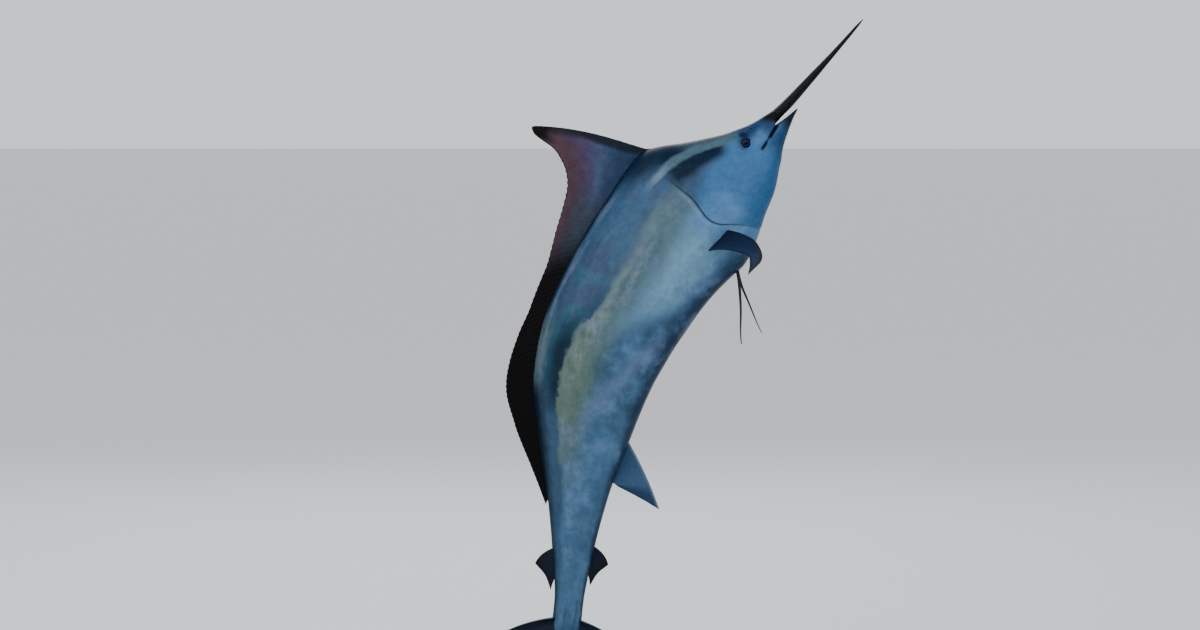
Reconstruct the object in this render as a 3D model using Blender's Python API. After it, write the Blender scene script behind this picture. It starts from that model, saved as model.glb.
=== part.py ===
"""A leaping blue marlin at life size, held over a flat base by two rods.

The fish is drawn along a curved spine. A place on it is (s, h, r): the distance s from the tip of the
lower jaw along the spine towards the tail, the height h towards the back, and the reach r to the right.
Metres, +Z up. The right side faces -Y, the head points up and towards +X.
"""

import math

import bmesh
import bpy
import numpy as np
from mathutils import Matrix, Vector

# Lengths along the spine
JAW_FORK = 3.10  # tip of the lower jaw to the fork of the tail
MOUTH_CORNER = 0.273
BILL_START = 0.098
BILL_TIP = -0.551
VENT = 0.645 * JAW_FORK
STOCK_END = 0.968 * JAW_FORK

# The pose: how far the spine leans from the vertical at the bill, behind the head and at the tail
BILL_LEAN = math.radians(41.7)
NAPE_LEAN = math.radians(52.0)
TAIL_LEAN = math.radians(7.0)
NAPE_SPAN = (0.07, 0.15)  # shares of the length over which the lean changes
BACK_SPAN = (0.15, 0.62)
TAIL_SWING = 0.16  # the tail is swung this far to the left
SWING_SPAN = (0.45, 1.0)
JAW_TIP = (0.78, 0.0, 3.165)

# Gaps between pieces that touch
GAP = 0.0003
ROOT_GAP = 0.0004

# Faces round a section, and rings along each piece
BODY_SIDES = 34
JAW_SIDES = 24
BILL_SIDES = 18
UPPER_JAW_RINGS = 9
HEAD_RINGS = 15
TORSO_RINGS = 25
STOCK_RINGS = 17
BILL_RINGS = 10
BILL_END_RINGS = 4
JAW_RINGS = 10
SHARP_EDGE = math.radians(40)

# Sections of head, torso and tail stock: share of the length, top, bottom, half width
BODY_SECTIONS = (
    (0.088, 0.142, 0.137, 0.085),
    (0.120, 0.181, 0.216, 0.115),
    (0.150, 0.222, 0.273, 0.140),
    (0.180, 0.270, 0.333, 0.160),
    (0.210, 0.328, 0.378, 0.176),
    (0.240, 0.364, 0.399, 0.187),
    (0.270, 0.350, 0.398, 0.194),
    (0.320, 0.321, 0.392, 0.198),
    (0.400, 0.310, 0.376, 0.195),
    (0.500, 0.325, 0.322, 0.178),
    (0.560, 0.320, 0.272, 0.160),
    (0.650, 0.264, 0.200, 0.128),
    (0.750, 0.185, 0.127, 0.090),
    (0.850, 0.120, 0.086, 0.055),
    (0.930, 0.080, 0.069, 0.036),
    (0.968, 0.076, 0.070, 0.030),
    (1.000, 0.080, 0.078, 0.028),
)
BODY_ROUNDNESS = (1.95, 2.15)  # exponents of the upper and the lower half of a section
JAW_ROUNDNESS = (5.0, 2.1)

# Upper jaw and bill: s, widest height, top, bottom, half width
BILL_SECTIONS = (
    (0.273, 0.006, 0.142, 0.002, 0.085),
    (0.215, 0.016, 0.114, 0.003, 0.072),
    (0.158, 0.031, 0.095, 0.006, 0.059),
    (0.098, 0.045, 0.079, 0.011, 0.047),
    (0.000, 0.044, 0.069, 0.019, 0.035),
    (-0.150, 0.042, 0.062, 0.023, 0.026),
    (-0.350, 0.041, 0.053, 0.030, 0.016),
    (-0.500, 0.043, 0.050, 0.037, 0.008),
    (-0.551, 0.044, 0.046, 0.042, 0.003),
)
# Lower jaw: s, widest height, top, bottom, half width
JAW_SECTIONS = (
    (0.273, -0.016, -0.002, -0.137, 0.084),
    (0.230, -0.013, -0.002, -0.108, 0.074),
    (0.163, -0.010, -0.002, -0.070, 0.058),
    (0.105, -0.008, -0.001, -0.045, 0.042),
    (0.055, -0.007, -0.001, -0.027, 0.026),
    (0.015, -0.006, -0.001, -0.013, 0.012),
    (0.000, -0.005, -0.002, -0.008, 0.005),
)
LIP = 0.0025  # how far the lips swell
UPPER_LIP_AT = 102.0  # degrees from the back
LOWER_LIP_AT = 74.0
LIP_SPREAD = 9.0
LIP_FADE = (BILL_START, 0.16)  # the lips grow from nothing over these lengths
JAW_LIP_FADE = (0.02, 0.12)
JAW_NOSE = (0.0, 0.007, 0.022)
BILL_END = (-0.47, -0.40)

# The rear edge of the gill covers: degrees from the back round to the belly, s
GILL_EDGE = (
    (0, 0.712),
    (60, 0.712),
    (88, 0.693),
    (101, 0.701),
    (110, 0.680),
    (119, 0.625),
    (140, 0.552),
    (180, 0.500),
)
GILL_CENTRE = 0.640
GILL_LIFT = 0.007  # the cover's edge stands this proud of the flank
GILL_LIFT_LENGTH = 0.13
GILL_LIFT_ANGLES = (48, 66)

EYE = (0.308, 0.069)  # s, h
EYE_RADIUS = 0.031
EYE_BULGE = 0.009
NOSTRILS = ((0.252, 0.098), (0.236, 0.100))
NOSTRIL_SIZE = (0.006, 0.0035, 0.006)

# Two short ridges on each side, just ahead of the tail fin
KEEL_AT = 0.945 * JAW_FORK
KEEL_LEVELS = (0.022, -0.024)
KEEL_SIZE = (0.066, 0.018, 0.008)
KEEL_SINK = 0.95  # share of the flank's reach at which a ridge is centred

# Half the thickness of a fin: a ray at its root and edge, then the skin between rays at root and edge
THICK_FIN = (0.0085, 0.0018, 0.0055, 0.0010)
THIN_FIN = (0.0045, 0.0013, 0.0030, 0.0009)
TAIL_FIN = (0.0220, 0.0024, 0.0175, 0.0012)
FIN_TAPER = 0.6  # how fast a fin thins: below 1, most of it near the root
FIN_SINK = 0.030
SMALL_FIN_SINK = 0.018
FIN_ROWS = 7
SMALL_FIN_ROWS = 4

# First dorsal fin: s and h of its edge, up the front, over the tip and down the back
LOBE_FRONT = ((0.716, 0.372), (0.748, 0.446), (0.846, 0.652), (0.915, 0.802))
LOBE_TIP = (0.942, 0.848)
LOBE_REAR = (
    (0.955, 0.805),
    (0.950, 0.700),
    (0.968, 0.612),
    (1.018, 0.528),
    (1.100, 0.478),
    (1.200, 0.440),
)
LOBE_BASE = (0.722, 1.105)
LOBE_RAYS = 18
LOBE_FRONT_RAYS = 6
LOBE_CURL = 0.035  # the tip leans this far to the left
LOBE_RISE = 0.5
LOBE_FIRST = 0.10  # the first ray ends this far up the front
LOBE_CROWDING = 1.1  # above 1, the rays stand closer at the front
LOBE_BOW = (-0.10, 0.04, 0.0)
RIBBON_BASE_END = 2.330
RIBBON_RAYS = 28
RIBBON_START = 0.0012
RIBBON_ROWS = 3
RIBBON_BOW = (0.35, 0.60, 0.0)
RIBBON_HEIGHTS = (
    (1.200, 0.128),
    (1.330, 0.095),
    (1.480, 0.090),
    (1.600, 0.112),
    (1.720, 0.134),
    (1.850, 0.146),
    (2.000, 0.124),
    (2.200, 0.070),
    (2.400, 0.014),
)

# Small median fins: s of the root's ends, then s and rise of the peak and of the rear tip
ANAL_FIN = ((2.012, 2.236), (2.354, 0.270), (2.262, 0.030))
SECOND_ANAL_FIN = ((2.575, 2.705), (2.668, 0.088), (2.790, 0.018))
SECOND_DORSAL_FIN = ((2.610, 2.745), (2.706, 0.094), (2.835, 0.020))
ANAL_FIN_RAYS = 13
SMALL_FIN_RAYS = 7
REAR_HOLLOW = (-0.04, 0.07)  # how far the rear edge sags forward and inward, as shares of its length
RAY_BOW = (-0.11, 0.20)  # how far a ray bows forward and outward, as shares of its length
RAY_EASE = 0.6  # the rear rays bow this much less

# Pectoral fins: s, h and reach along the front edge and along the rear edge, both from root to tip
PECTORAL_FRONT = (
    (0.668, -0.196, 0.125),
    (0.616, -0.258, 0.300),
    (0.590, -0.322, 0.450),
    (0.606, -0.378, 0.560),
    (0.650, -0.403, 0.640),
    (0.752, -0.403, 0.720),
)
PECTORAL_REAR = (
    (0.842, -0.200, 0.125),
    (0.762, -0.248, 0.275),
    (0.700, -0.308, 0.410),
    (0.674, -0.348, 0.520),
    (0.700, -0.376, 0.610),
    (0.752, -0.403, 0.720),
)
PECTORAL_RAYS = 12
PECTORAL_ROWS = 10
PECTORAL_REAR_RAY = 0.14  # share of the fin's length that its rear ray reaches
PECTORAL_CROWDING = 1.3  # above 1, the rays' ends stand closer at the tip
PECTORAL_NARROWING = 3  # the rays close up towards the front edge with this power of their length

# Pelvic fins: s, h and reach along the right one, which hangs straight down, and along the left one
PELVIC_RIGHT = (
    (0.742, -0.352, 0.022),
    (0.812, -0.433, 0.030),
    (0.964, -0.541, 0.040),
    (1.230, -0.643, 0.050),
)
PELVIC_LEFT = (
    (0.742, -0.352, -0.022),
    (0.816, -0.454, -0.030),
    (0.886, -0.564, -0.040),
    (1.012, -0.709, -0.050),
)
PELVIC_WIDTH = (0.012, 0.0035)  # half the width at the root and at the tip
PELVIC_ROWS = 10
PELVIC_STEP = 0.02
PELVIC_TAPER = 0.7

# Tail fin: s and h of the outer roots, the bow of the front edge, and the rear edge from the tip inward
TAIL_ROOT = (2.968, 0.060)
TAIL_BOW = (3.040, 0.385)
TAIL_REAR = ((3.372, 0.590), (3.262, 0.450), (3.180, 0.300), (3.128, 0.150), (3.104, 0.0))
TAIL_RAYS = 10
TAIL_FANNING = 1.4  # how fast the rays straighten from the front edge to the fork

ROD_RADIUS = 0.015
TAIL_ROD_DEPTH = 0.085
FLANK_ROD_RADIUS = 0.019
FLANK_ROD_FOOT = (-0.405, 0.440)
FLANK_ROD_AT = 0.70  # share of the length at which the second rod aims
FLANK_ROD_SPARE = 0.02
FLOOR_CUTTER = (0.1, 0.2)  # depth and radius
BASE_SIZE = (1.36, 1.10, 0.060)
BASE_CORNER = 0.10
BASE_BEVEL = 0.008

COLOURS = {
    "skin": (0.10, 0.20, 0.31),
    "bill": (0.02, 0.022, 0.028),
    "fin": (0.025, 0.035, 0.065),
    "anal_fin": (0.07, 0.14, 0.27),
    "eye": (0.01, 0.012, 0.02),
    "base": (0.10, 0.06, 0.04),
    "rod": (0.55, 0.56, 0.57),
}
ROUGHNESS = {"eye": 0.08, "rod": 0.30, "base": 0.35, "bill": 0.35}
SKIN_ROUGHNESS = 0.28


def smooth(low, high, value):
    """0 below low, 1 above high and a smooth rise between them."""
    share = np.clip((value - low) / (high - low), 0.0, 1.0)
    return share * share * (3.0 - 2.0 * share)


def bump(centre, spread, value):
    """1 at the centre, falling away on both sides."""
    return math.exp(-(((value - centre) / spread) ** 2))


def through(rows, column, where):
    """A smooth curve through one column of a table, with no overshoot between its rows."""
    table = sorted(rows)
    xs = np.array([row[0] for row in table], float)
    ys = np.array([row[column] for row in table], float)
    steps = np.diff(xs)
    slopes = np.diff(ys) / steps
    bends = np.zeros(len(xs))
    for i in range(1, len(xs) - 1):
        if slopes[i - 1] * slopes[i] > 0:
            ahead, behind = 2 * steps[i] + steps[i - 1], steps[i] + 2 * steps[i - 1]
            bends[i] = (ahead + behind) / (ahead / slopes[i - 1] + behind / slopes[i])
    bends[0], bends[-1] = slopes[0], slopes[-1]
    where = np.clip(where, xs[0], xs[-1])
    i = int(np.clip(np.searchsorted(xs, where) - 1, 0, len(steps) - 1))
    t = (where - xs[i]) / steps[i]
    start = (1 + 2 * t) * (1 - t) ** 2 * ys[i] + t * (1 - t) ** 2 * steps[i] * bends[i]
    return start + t * t * (3 - 2 * t) * ys[i + 1] + t * t * (t - 1) * steps[i] * bends[i + 1]


def along(points, share):
    """The place at a share of the way along a smooth open curve through a few points."""
    places = np.array(points, float)
    reach = np.concatenate([[0.0], np.cumsum(np.linalg.norm(np.diff(places, axis=0), axis=1))])
    rows = [(reach[i], *places[i]) for i in range(len(places))]
    return np.array([through(rows, c + 1, share * reach[-1]) for c in range(places.shape[1])])


def bent(start, control, end, rows):
    """Places along a curve that leaves start towards control and comes into end from it."""
    start, control, end = (np.array(p, float) for p in (start, control, end))
    shares = [k / rows for k in range(rows + 1)]
    return [(1 - t) ** 2 * start + 2 * t * (1 - t) * control + t * t * end for t in shares]


def lean(s):
    """How far the spine leans from the vertical at s."""
    share = s / JAW_FORK
    head = (NAPE_LEAN - BILL_LEAN) * smooth(*NAPE_SPAN, share)
    return BILL_LEAN + head + (TAIL_LEAN - NAPE_LEAN) * smooth(*BACK_SPAN, share)


def spine_table(step=0.005, end=3.5):
    """Places along the spine, found by following its lean from the tip of the lower jaw."""
    stations = np.arange(0.0, end, step)
    middle = lean(stations + step / 2)
    x = JAW_TIP[0] - np.concatenate([[0.0], np.cumsum(np.sin(middle) * step)[:-1]])
    z = JAW_TIP[2] - np.concatenate([[0.0], np.cumsum(np.cos(middle) * step)[:-1]])
    return stations, x, z


SPINE = spine_table()


def swing(s):
    """How far the spine is bent to the left at s, and how fast that grows."""
    start, end = (share * JAW_FORK for share in SWING_SPAN)
    t = float(np.clip((s - start) / (end - start), 0.0, 1.0))
    return TAIL_SWING * t * t * (3 - 2 * t), TAIL_SWING * 6 * t * (1 - t) / (end - start)


def frame(s):
    """The spine's place at s, and the directions towards the tail, the back and the right."""
    slant = lean(s)
    stations, x, z = SPINE
    if s < 0:
        place = np.array(JAW_TIP) - s * np.array([math.sin(slant), 0.0, math.cos(slant)])
    else:
        place = np.array([np.interp(s, stations, x), 0.0, np.interp(s, stations, z)])
    aside, growth = swing(s)
    place[1] = JAW_TIP[1] + aside
    tailward = np.array([-math.sin(slant), growth, -math.cos(slant)])
    tailward /= np.linalg.norm(tailward)
    back = np.array([-math.cos(slant), 0.0, math.sin(slant)])
    return place, tailward, back, np.cross(back, tailward)


def fish_point(s, h, r=0.0):
    """The world place of (s, h, r)."""
    place, _, back, right = frame(s)
    return place + back * h + right * r


def body_section(s):
    """Widest height, top, bottom and half width of the body at s."""
    share = s / JAW_FORK
    top, bottom, wide = (through(BODY_SECTIONS, c, share) for c in (1, 2, 3))
    return 0.0, top, -bottom, wide


def bill_section(s):
    """Widest height, top, bottom and half width of the upper jaw and the bill at s."""
    return tuple(through(BILL_SECTIONS, c, s) for c in (1, 2, 3, 4))


def jaw_section(s):
    """Widest height, top, bottom and half width of the lower jaw at s."""
    return tuple(through(JAW_SECTIONS, c, s) for c in (1, 2, 3, 4))


def back_height(s):
    """Height of the back above the spine."""
    return body_section(s)[1]


def belly_height(s):
    """Height of the belly, which is below the spine and so negative."""
    return body_section(s)[2]


def flank_reach(section, s, h):
    """Half the width of a section at (s, h)."""
    middle, top, bottom, wide = section(s)
    above = h >= middle
    power = BODY_ROUNDNESS[0] if above else BODY_ROUNDNESS[1]
    level = min(1.0, (h - middle) / (top - middle) if above else (middle - h) / (middle - bottom))
    return wide * (1.0 - level**power) ** (1.0 / power)


def ring_point(section, s, angle, grow, roundness):
    """The world place on a section's outline. The angle runs from the back round the right side."""
    middle, top, bottom, wide = section(s)
    up, out = math.cos(angle), math.sin(angle)
    power = 2.0 / (roundness[0] if up >= 0 else roundness[1])
    rise = (top - middle if up >= 0 else middle - bottom) + grow
    h = middle + math.copysign(rise * abs(up) ** power, up)
    r = math.copysign((wide + grow) * abs(out) ** power, out)
    return fish_point(s, h, r)


def ring(section, sides, s_at, grow_at=lambda fold, s: 0.0, roundness=BODY_ROUNDNESS):
    """One ring of places. s_at gives s at each angle, and grow_at how far the surface is raised there."""
    places = []
    for j in range(sides):
        fold = min(j, sides - j) * 360.0 / sides
        s = s_at(fold) if callable(s_at) else s_at
        places.append(ring_point(section, s, 2 * math.pi * j / sides, grow_at(fold, s), roundness))
    return places


def paint(name, finish_name):
    """A material for the node of that name, in one of the finishes."""
    material = bpy.data.materials.new(name)
    material.use_nodes = True
    shader = material.node_tree.nodes["Principled BSDF"]
    shader.inputs["Base Color"].default_value = (*COLOURS[finish_name], 1.0)
    shader.inputs["Roughness"].default_value = ROUGHNESS.get(finish_name, SKIN_ROUGHNESS)
    shader.inputs["Metallic"].default_value = 1.0 if finish_name == "rod" else 0.0
    return material


def finish(name, shell, colour, turn=None, place=(0.0, 0.0, 0.0)):
    """Makes an object of the mesh with its faces outward. The columns of turn are its own axes."""
    quads = [face for face in shell.faces if len(face.verts) == 4]
    bmesh.ops.triangulate(shell, faces=quads, quad_method="FIXED")
    bmesh.ops.recalc_face_normals(shell, faces=shell.faces)
    mesh = bpy.data.meshes.new(name)
    shell.to_mesh(mesh)
    shell.free()
    mesh.materials.append(paint(name, colour))
    made = bpy.data.objects.new(name, mesh)
    bpy.context.scene.collection.objects.link(made)
    if turn is not None:
        made.rotation_mode = "QUATERNION"
        made.rotation_quaternion = Matrix(turn.tolist()).to_quaternion()
    made.location = place
    mesh.shade_smooth()
    mesh.set_sharp_from_angle(angle=SHARP_EDGE)
    return made


def step_on(shell, loop, places):
    """Extrudes a closed loop of points to new places, and gives the new loop in the same order."""
    count = len(loop)
    edges = [shell.edges.get((loop[j], loop[(j + 1) % count])) for j in range(count)]
    made = bmesh.ops.extrude_edge_only(shell, edges=edges)["geom"]
    fresh = {item for item in made if isinstance(item, bmesh.types.BMVert)}
    ahead = [next(e.other_vert(v) for e in v.link_edges if e.other_vert(v) in fresh) for v in loop]
    for vert, place in zip(ahead, places):
        vert.co = place
    return ahead


def close_end(shell, loop, middle):
    """Closes a loop with a fan of faces round a middle place."""
    face = shell.faces.new(loop)
    fan = bmesh.ops.poke(shell, faces=[face])
    fan["verts"][0].co = middle


def loft(name, rings, colour, nose=None, heel=None):
    """A closed body through rings of places. nose and heel are the middles of its ends."""
    shell = bmesh.new()
    first = bmesh.ops.create_circle(shell, segments=len(rings[0]), radius=1.0)["verts"]
    for vert, place in zip(first, rings[0]):
        vert.co = place
    loop = first
    for places in rings[1:]:
        loop = step_on(shell, loop, places)
    close_end(shell, first, np.mean(rings[0], axis=0) if nose is None else nose)
    close_end(shell, loop, np.mean(rings[-1], axis=0) if heel is None else heel)
    return finish(name, shell, colour)


def ball(name, colour, radii, turn, place, around=18, levels=10):
    """An ellipsoid whose axes are the columns of turn."""
    shell = bmesh.new()
    bmesh.ops.create_uvsphere(shell, u_segments=around, v_segments=levels, radius=1.0)
    bmesh.ops.scale(shell, vec=radii, verts=shell.verts)
    return finish(name, shell, colour, turn, place)


def rod(name, foot, head, radius, sides=24):
    """A round rod between two places, with its origin at its foot."""
    axis = Vector(head - foot)
    shell = bmesh.new()
    made = bmesh.ops.create_cone(
        shell, cap_ends=True, segments=sides, radius1=radius, radius2=radius, depth=axis.length
    )
    bmesh.ops.translate(shell, vec=(0.0, 0.0, axis.length / 2), verts=made["verts"])
    turn = np.array(axis.to_track_quat("Z", "Y").to_matrix())
    return finish(name, shell, "rod", turn, foot)


def bake(target):
    """Turns the target's modifiers into its mesh."""
    graph = bpy.context.evaluated_depsgraph_get()
    graph.update()
    mesh = bpy.data.meshes.new_from_object(target.evaluated_get(graph))
    target.modifiers.clear()
    target.data = mesh


def cut(target, cutters):
    """Takes the cutters away from the target for good."""
    for cutter in cutters:
        modifier = target.modifiers.new("cut", "BOOLEAN")
        modifier.operation = "DIFFERENCE"
        modifier.object = cutter
    bake(target)
    keep_largest(target)


def join(target, pieces):
    """Joins closed pieces to the target by one union, and removes them."""
    group = bpy.data.collections.new(target.name + "_pieces")
    bpy.context.scene.collection.children.link(group)
    for piece in pieces:
        bpy.context.scene.collection.objects.unlink(piece)
        group.objects.link(piece)
    modifier = target.modifiers.new("join", "BOOLEAN")
    modifier.operation = "UNION"
    modifier.operand_type = "COLLECTION"
    modifier.collection = group
    bake(target)
    drop(pieces)
    bpy.data.collections.remove(group)


def drop(pieces):
    """Removes helper objects."""
    for piece in pieces:
        bpy.data.objects.remove(piece)


def keep_largest(target):
    """Keeps the largest closed surface of a piece and drops the rest."""
    shell = bmesh.new()
    shell.from_mesh(target.data)
    left = set(shell.faces)
    islands = []
    for seed in shell.faces:
        if seed not in left:
            continue
        left.discard(seed)
        island = [seed]
        for face in island:
            near = [other for edge in face.edges for other in edge.link_faces if other in left]
            left.difference_update(near)
            island += dict.fromkeys(near)
        islands.append(island)
    islands.sort(key=lambda island: sum(face.calc_area() for face in island))
    small = [face for island in islands[:-1] for face in island]
    bmesh.ops.delete(shell, geom=small, context="FACES")
    shell.to_mesh(target.data)
    shell.free()


def helper(made):
    """Marks an object as a helper that isn't part of the model."""
    made.hide_render = True
    made.display_type = "WIRE"
    return made


def fin(name, rays, thickness, colour):
    """A fin as a closed sheet with a ridge along each ray, split into the same triangles on both faces.

    Each ray is a row of (s, h, r) places from the root to the edge. Between two rays lies a valley.
    """
    columns = [np.array(rays[0])]
    for before, after in zip(rays, rays[1:]):
        columns += [(np.array(before) + np.array(after)) / 2, np.array(after)]
    middle = np.array([[fish_point(*place) for place in column] for column in columns])
    side = np.cross(np.gradient(middle, axis=0), np.gradient(middle, axis=1))
    side /= np.linalg.norm(side, axis=2, keepdims=True)
    wide, deep = middle.shape[:2]
    shell = bmesh.new()
    bmesh.ops.create_grid(shell, x_segments=deep - 1, y_segments=wide - 1, size=1.0)
    sheet = shell.verts[:]
    copied = bmesh.ops.duplicate(shell, geom=sheet + shell.edges[:] + shell.faces[:])
    twins = [copied["vert_map"][vert] for vert in sheet]
    for i in range(wide):
        root, edge = thickness[:2] if i % 2 == 0 else thickness[2:]
        for k in range(deep):
            half = side[i, k] * (root + (edge - root) * (k / (deep - 1)) ** FIN_TAPER)
            sheet[i * deep + k].co = middle[i, k] + half
            twins[i * deep + k].co = middle[i, k] - half
    bmesh.ops.bridge_loops(shell, edges=[edge for edge in shell.edges if edge.is_boundary])
    return finish(name, shell, colour)


def gill_edge(fold):
    """Where the gill cover ends, at so many degrees from the back."""
    return through(GILL_EDGE, 1, fold)


def gill_lift(fold):
    """How proud the gill cover's edge stands, at so many degrees from the back."""
    return GILL_LIFT * float(smooth(*GILL_LIFT_ANGLES, fold))


def behind_gill(fold):
    """Where the torso starts at that angle, tucked under the gill cover's edge."""
    lift, edge = gill_lift(fold), gill_edge(fold)
    surface = ring_point(body_section, edge, math.radians(fold), 0.0, BODY_ROUNDNESS)
    radius = np.linalg.norm(surface - fish_point(edge, 0.0))
    return edge + (GILL_CENTRE - edge) * lift / (radius + lift) + GAP


def head_rings():
    """Rings of the upper jaw with its lip, then of the full head up to the gill covers' edge."""

    def lip(fold, s):
        return LIP * bump(UPPER_LIP_AT, LIP_SPREAD, fold) * float(smooth(*LIP_FADE, s))

    def cover(fold, s):
        return gill_lift(fold) * float(smooth(gill_edge(fold) - GILL_LIFT_LENGTH, gill_edge(fold), s))

    jaw_stops = np.linspace(BILL_START, MOUTH_CORNER - GAP, UPPER_JAW_RINGS)
    rings = [ring(bill_section, BODY_SIDES, s, lip) for s in jaw_stops]
    for share in np.linspace(0.0, 1.0, HEAD_RINGS):
        rings.append(
            ring(
                body_section,
                BODY_SIDES,
                lambda fold, share=share: MOUTH_CORNER + (gill_edge(fold) - MOUTH_CORNER) * share,
                cover,
            )
        )
    return rings


def torso_rings(grow=0.0):
    """Rings from the gill covers' edge to the vent."""
    rings = []
    for share in np.linspace(0.0, 1.0, TORSO_RINGS):
        rings.append(
            ring(
                body_section,
                BODY_SIDES,
                lambda fold, share=share: behind_gill(fold) + (VENT - behind_gill(fold)) * share,
                lambda fold, s: grow,
            )
        )
    return rings


def stock_rings(grow=0.0, end=STOCK_END):
    """Rings from the vent to the tail fin."""
    stops = np.linspace(VENT + GAP, end, STOCK_RINGS)
    return [ring(body_section, BODY_SIDES, stop, lambda fold, s: grow) for stop in stops]


def eye(name, hand, grow=0.0):
    """An eyeball set in the head. hand is 1 on the right and -1 on the left."""
    s, h = EYE
    reach = flank_reach(body_section, s, h) - EYE_RADIUS + EYE_BULGE
    _, tailward, back, right = frame(s)
    turn = np.stack([tailward, back, right], axis=1)
    return ball(name, "eye", (EYE_RADIUS + grow,) * 3, turn, fish_point(s, h, hand * reach))


def nostril(s, h, hand):
    """A small pit ahead of the eye."""
    _, tailward, back, right = frame(s)
    turn = np.stack([tailward, back, right], axis=1)
    centre = fish_point(s, h, hand * flank_reach(bill_section, s, h))
    return ball("pit", "eye", NOSTRIL_SIZE, turn, centre, 8, 6)


def build_head():
    """Head with the upper jaw, eye sockets and nostrils, then bill, lower jaw and eyes."""
    head = loft("head", head_rings(), "skin", heel=fish_point(GILL_CENTRE, 0.0))
    pits = [eye("socket", hand, GAP) for hand in (1, -1)]
    pits += [nostril(*spot, hand) for spot in NOSTRILS for hand in (1, -1)]
    cut(head, pits)
    drop(pits)
    stops = [
        *np.linspace(BILL_TIP, BILL_END[0], BILL_END_RINGS),
        *np.linspace(BILL_END[1], BILL_START - GAP, BILL_RINGS),
    ]
    loft("bill", [ring(bill_section, BILL_SIDES, s) for s in stops], "bill")

    def lip(fold, s):
        return LIP * bump(LOWER_LIP_AT, LIP_SPREAD, fold) * float(smooth(*JAW_LIP_FADE, s))

    stops = [*JAW_NOSE[:-1], *np.linspace(JAW_NOSE[-1], MOUTH_CORNER - 2 * GAP, JAW_RINGS)]
    loft("lower_jaw", [ring(jaw_section, JAW_SIDES, s, lip, JAW_ROUNDNESS) for s in stops], "skin")
    eye("eye_right", 1)
    eye("eye_left", -1)


def keels():
    """The ridges on the sides of the tail stock."""
    made = []
    _, tailward, back, right = frame(KEEL_AT)
    turn = np.stack([tailward, right, -back], axis=1)
    for hand in (1, -1):
        for level in KEEL_LEVELS:
            reach = flank_reach(body_section, KEEL_AT, level) * KEEL_SINK
            made.append(ball("keel", "skin", KEEL_SIZE, turn, fish_point(KEEL_AT, level, hand * reach), 14, 8))
    return made


def build_trunk(rod_socket):
    """Torso and tail stock, the stock with its keels and the rod's socket."""
    loft("torso", torso_rings(), "skin", nose=fish_point(GILL_CENTRE + GAP, 0.0))
    stock = loft("tail_stock", stock_rings(), "skin")
    join(stock, keels())
    cut(stock, [rod_socket])


def ribbon_ray(share):
    """Root, bow and edge of a ray of the low rear part of the first dorsal fin."""
    s_edge = LOBE_REAR[-1][0] + (RIBBON_HEIGHTS[-1][0] - LOBE_REAR[-1][0]) * share
    base = LOBE_BASE[1] + (RIBBON_BASE_END - LOBE_BASE[1]) * share
    root = np.array([base, back_height(base) - FIN_SINK, 0.0])
    edge = np.array([s_edge, back_height(s_edge) + through(RIBBON_HEIGHTS, 1, s_edge), 0.0])
    return root, root + (edge - root) * RIBBON_BOW, edge


def dorsal_lobe():
    """The tall front of the first dorsal fin. Its last ray is the ribbon's first."""
    climb = np.linalg.norm(np.diff(np.array(LOBE_FRONT + (LOBE_TIP,)), axis=0), axis=1).sum()
    fall = np.linalg.norm(np.diff(np.array((LOBE_TIP,) + LOBE_REAR), axis=0), axis=1).sum()
    turn = climb / (climb + fall)
    rays = []
    for i in range(LOBE_RAYS):
        share = i / (LOBE_RAYS - 1)
        if i <= LOBE_FRONT_RAYS:
            place = turn * (LOBE_FIRST + (1 - LOBE_FIRST) * i / LOBE_FRONT_RAYS)
        else:
            place = turn + (1 - turn) * (i - LOBE_FRONT_RAYS) / (LOBE_RAYS - 1 - LOBE_FRONT_RAYS)
        base = LOBE_BASE[0] + (LOBE_BASE[1] - LOBE_BASE[0]) * share**LOBE_CROWDING
        s_edge, h_edge = along(LOBE_FRONT + (LOBE_TIP,) + LOBE_REAR, place)
        rise = h_edge - back_height(s_edge)
        last = share**4
        root = np.array([base, back_height(base) - FIN_SINK, 0.0])
        edge = np.array([s_edge, h_edge, -LOBE_CURL * (rise / LOBE_RISE) ** 2 * (1 - last)])
        bow = (root + edge) / 2 + np.array(LOBE_BOW) * rise
        bow += (ribbon_ray(0.0)[1] - bow) * last
        bow[2] = 0.0
        rays.append(bent(root, bow, edge, FIN_ROWS))
    return fin("dorsal_fin_lobe", rays, THICK_FIN, "fin")


def dorsal_ribbon():
    """The low rear part of the first dorsal fin."""
    shares = np.linspace(RIBBON_START, 1.0, RIBBON_RAYS)
    rays = [bent(*ribbon_ray(share), RIBBON_ROWS) for share in shares]
    return fin("dorsal_fin_ribbon", rays, THICK_FIN, "fin")


def median_fin(name, shape, side, rays_and_rows, thickness, colour):
    """A small fin on the back (side 1) or the belly (side -1)."""
    count, rows = rays_and_rows
    (root_start, root_end), peak, rear = shape

    def contour(s):
        return back_height(s) if side > 0 else belly_height(s)

    tip, end = (np.array([s, contour(s) + side * rise, 0.0]) for s, rise in (peak, rear))
    sag = np.array([REAR_HOLLOW[0], -side * REAR_HOLLOW[1], 0.0])
    hollow = (tip + end) / 2 + sag * np.linalg.norm(tip - end)
    rays = []
    for i in range(count):
        share = i / (count - 1)
        base = root_start + (root_end - root_start) * share
        root = np.array([base, contour(base) - side * SMALL_FIN_SINK, 0.0])
        edge = along((tip, hollow, end), share)
        bulge = np.linalg.norm(edge - root) * (1 - RAY_EASE * share)
        bow = (root + edge) / 2 + np.array([RAY_BOW[0], side * RAY_BOW[1], 0.0]) * bulge
        rays.append(bent(root, bow, edge, rows))
    return fin(name, rays, thickness, colour)


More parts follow.
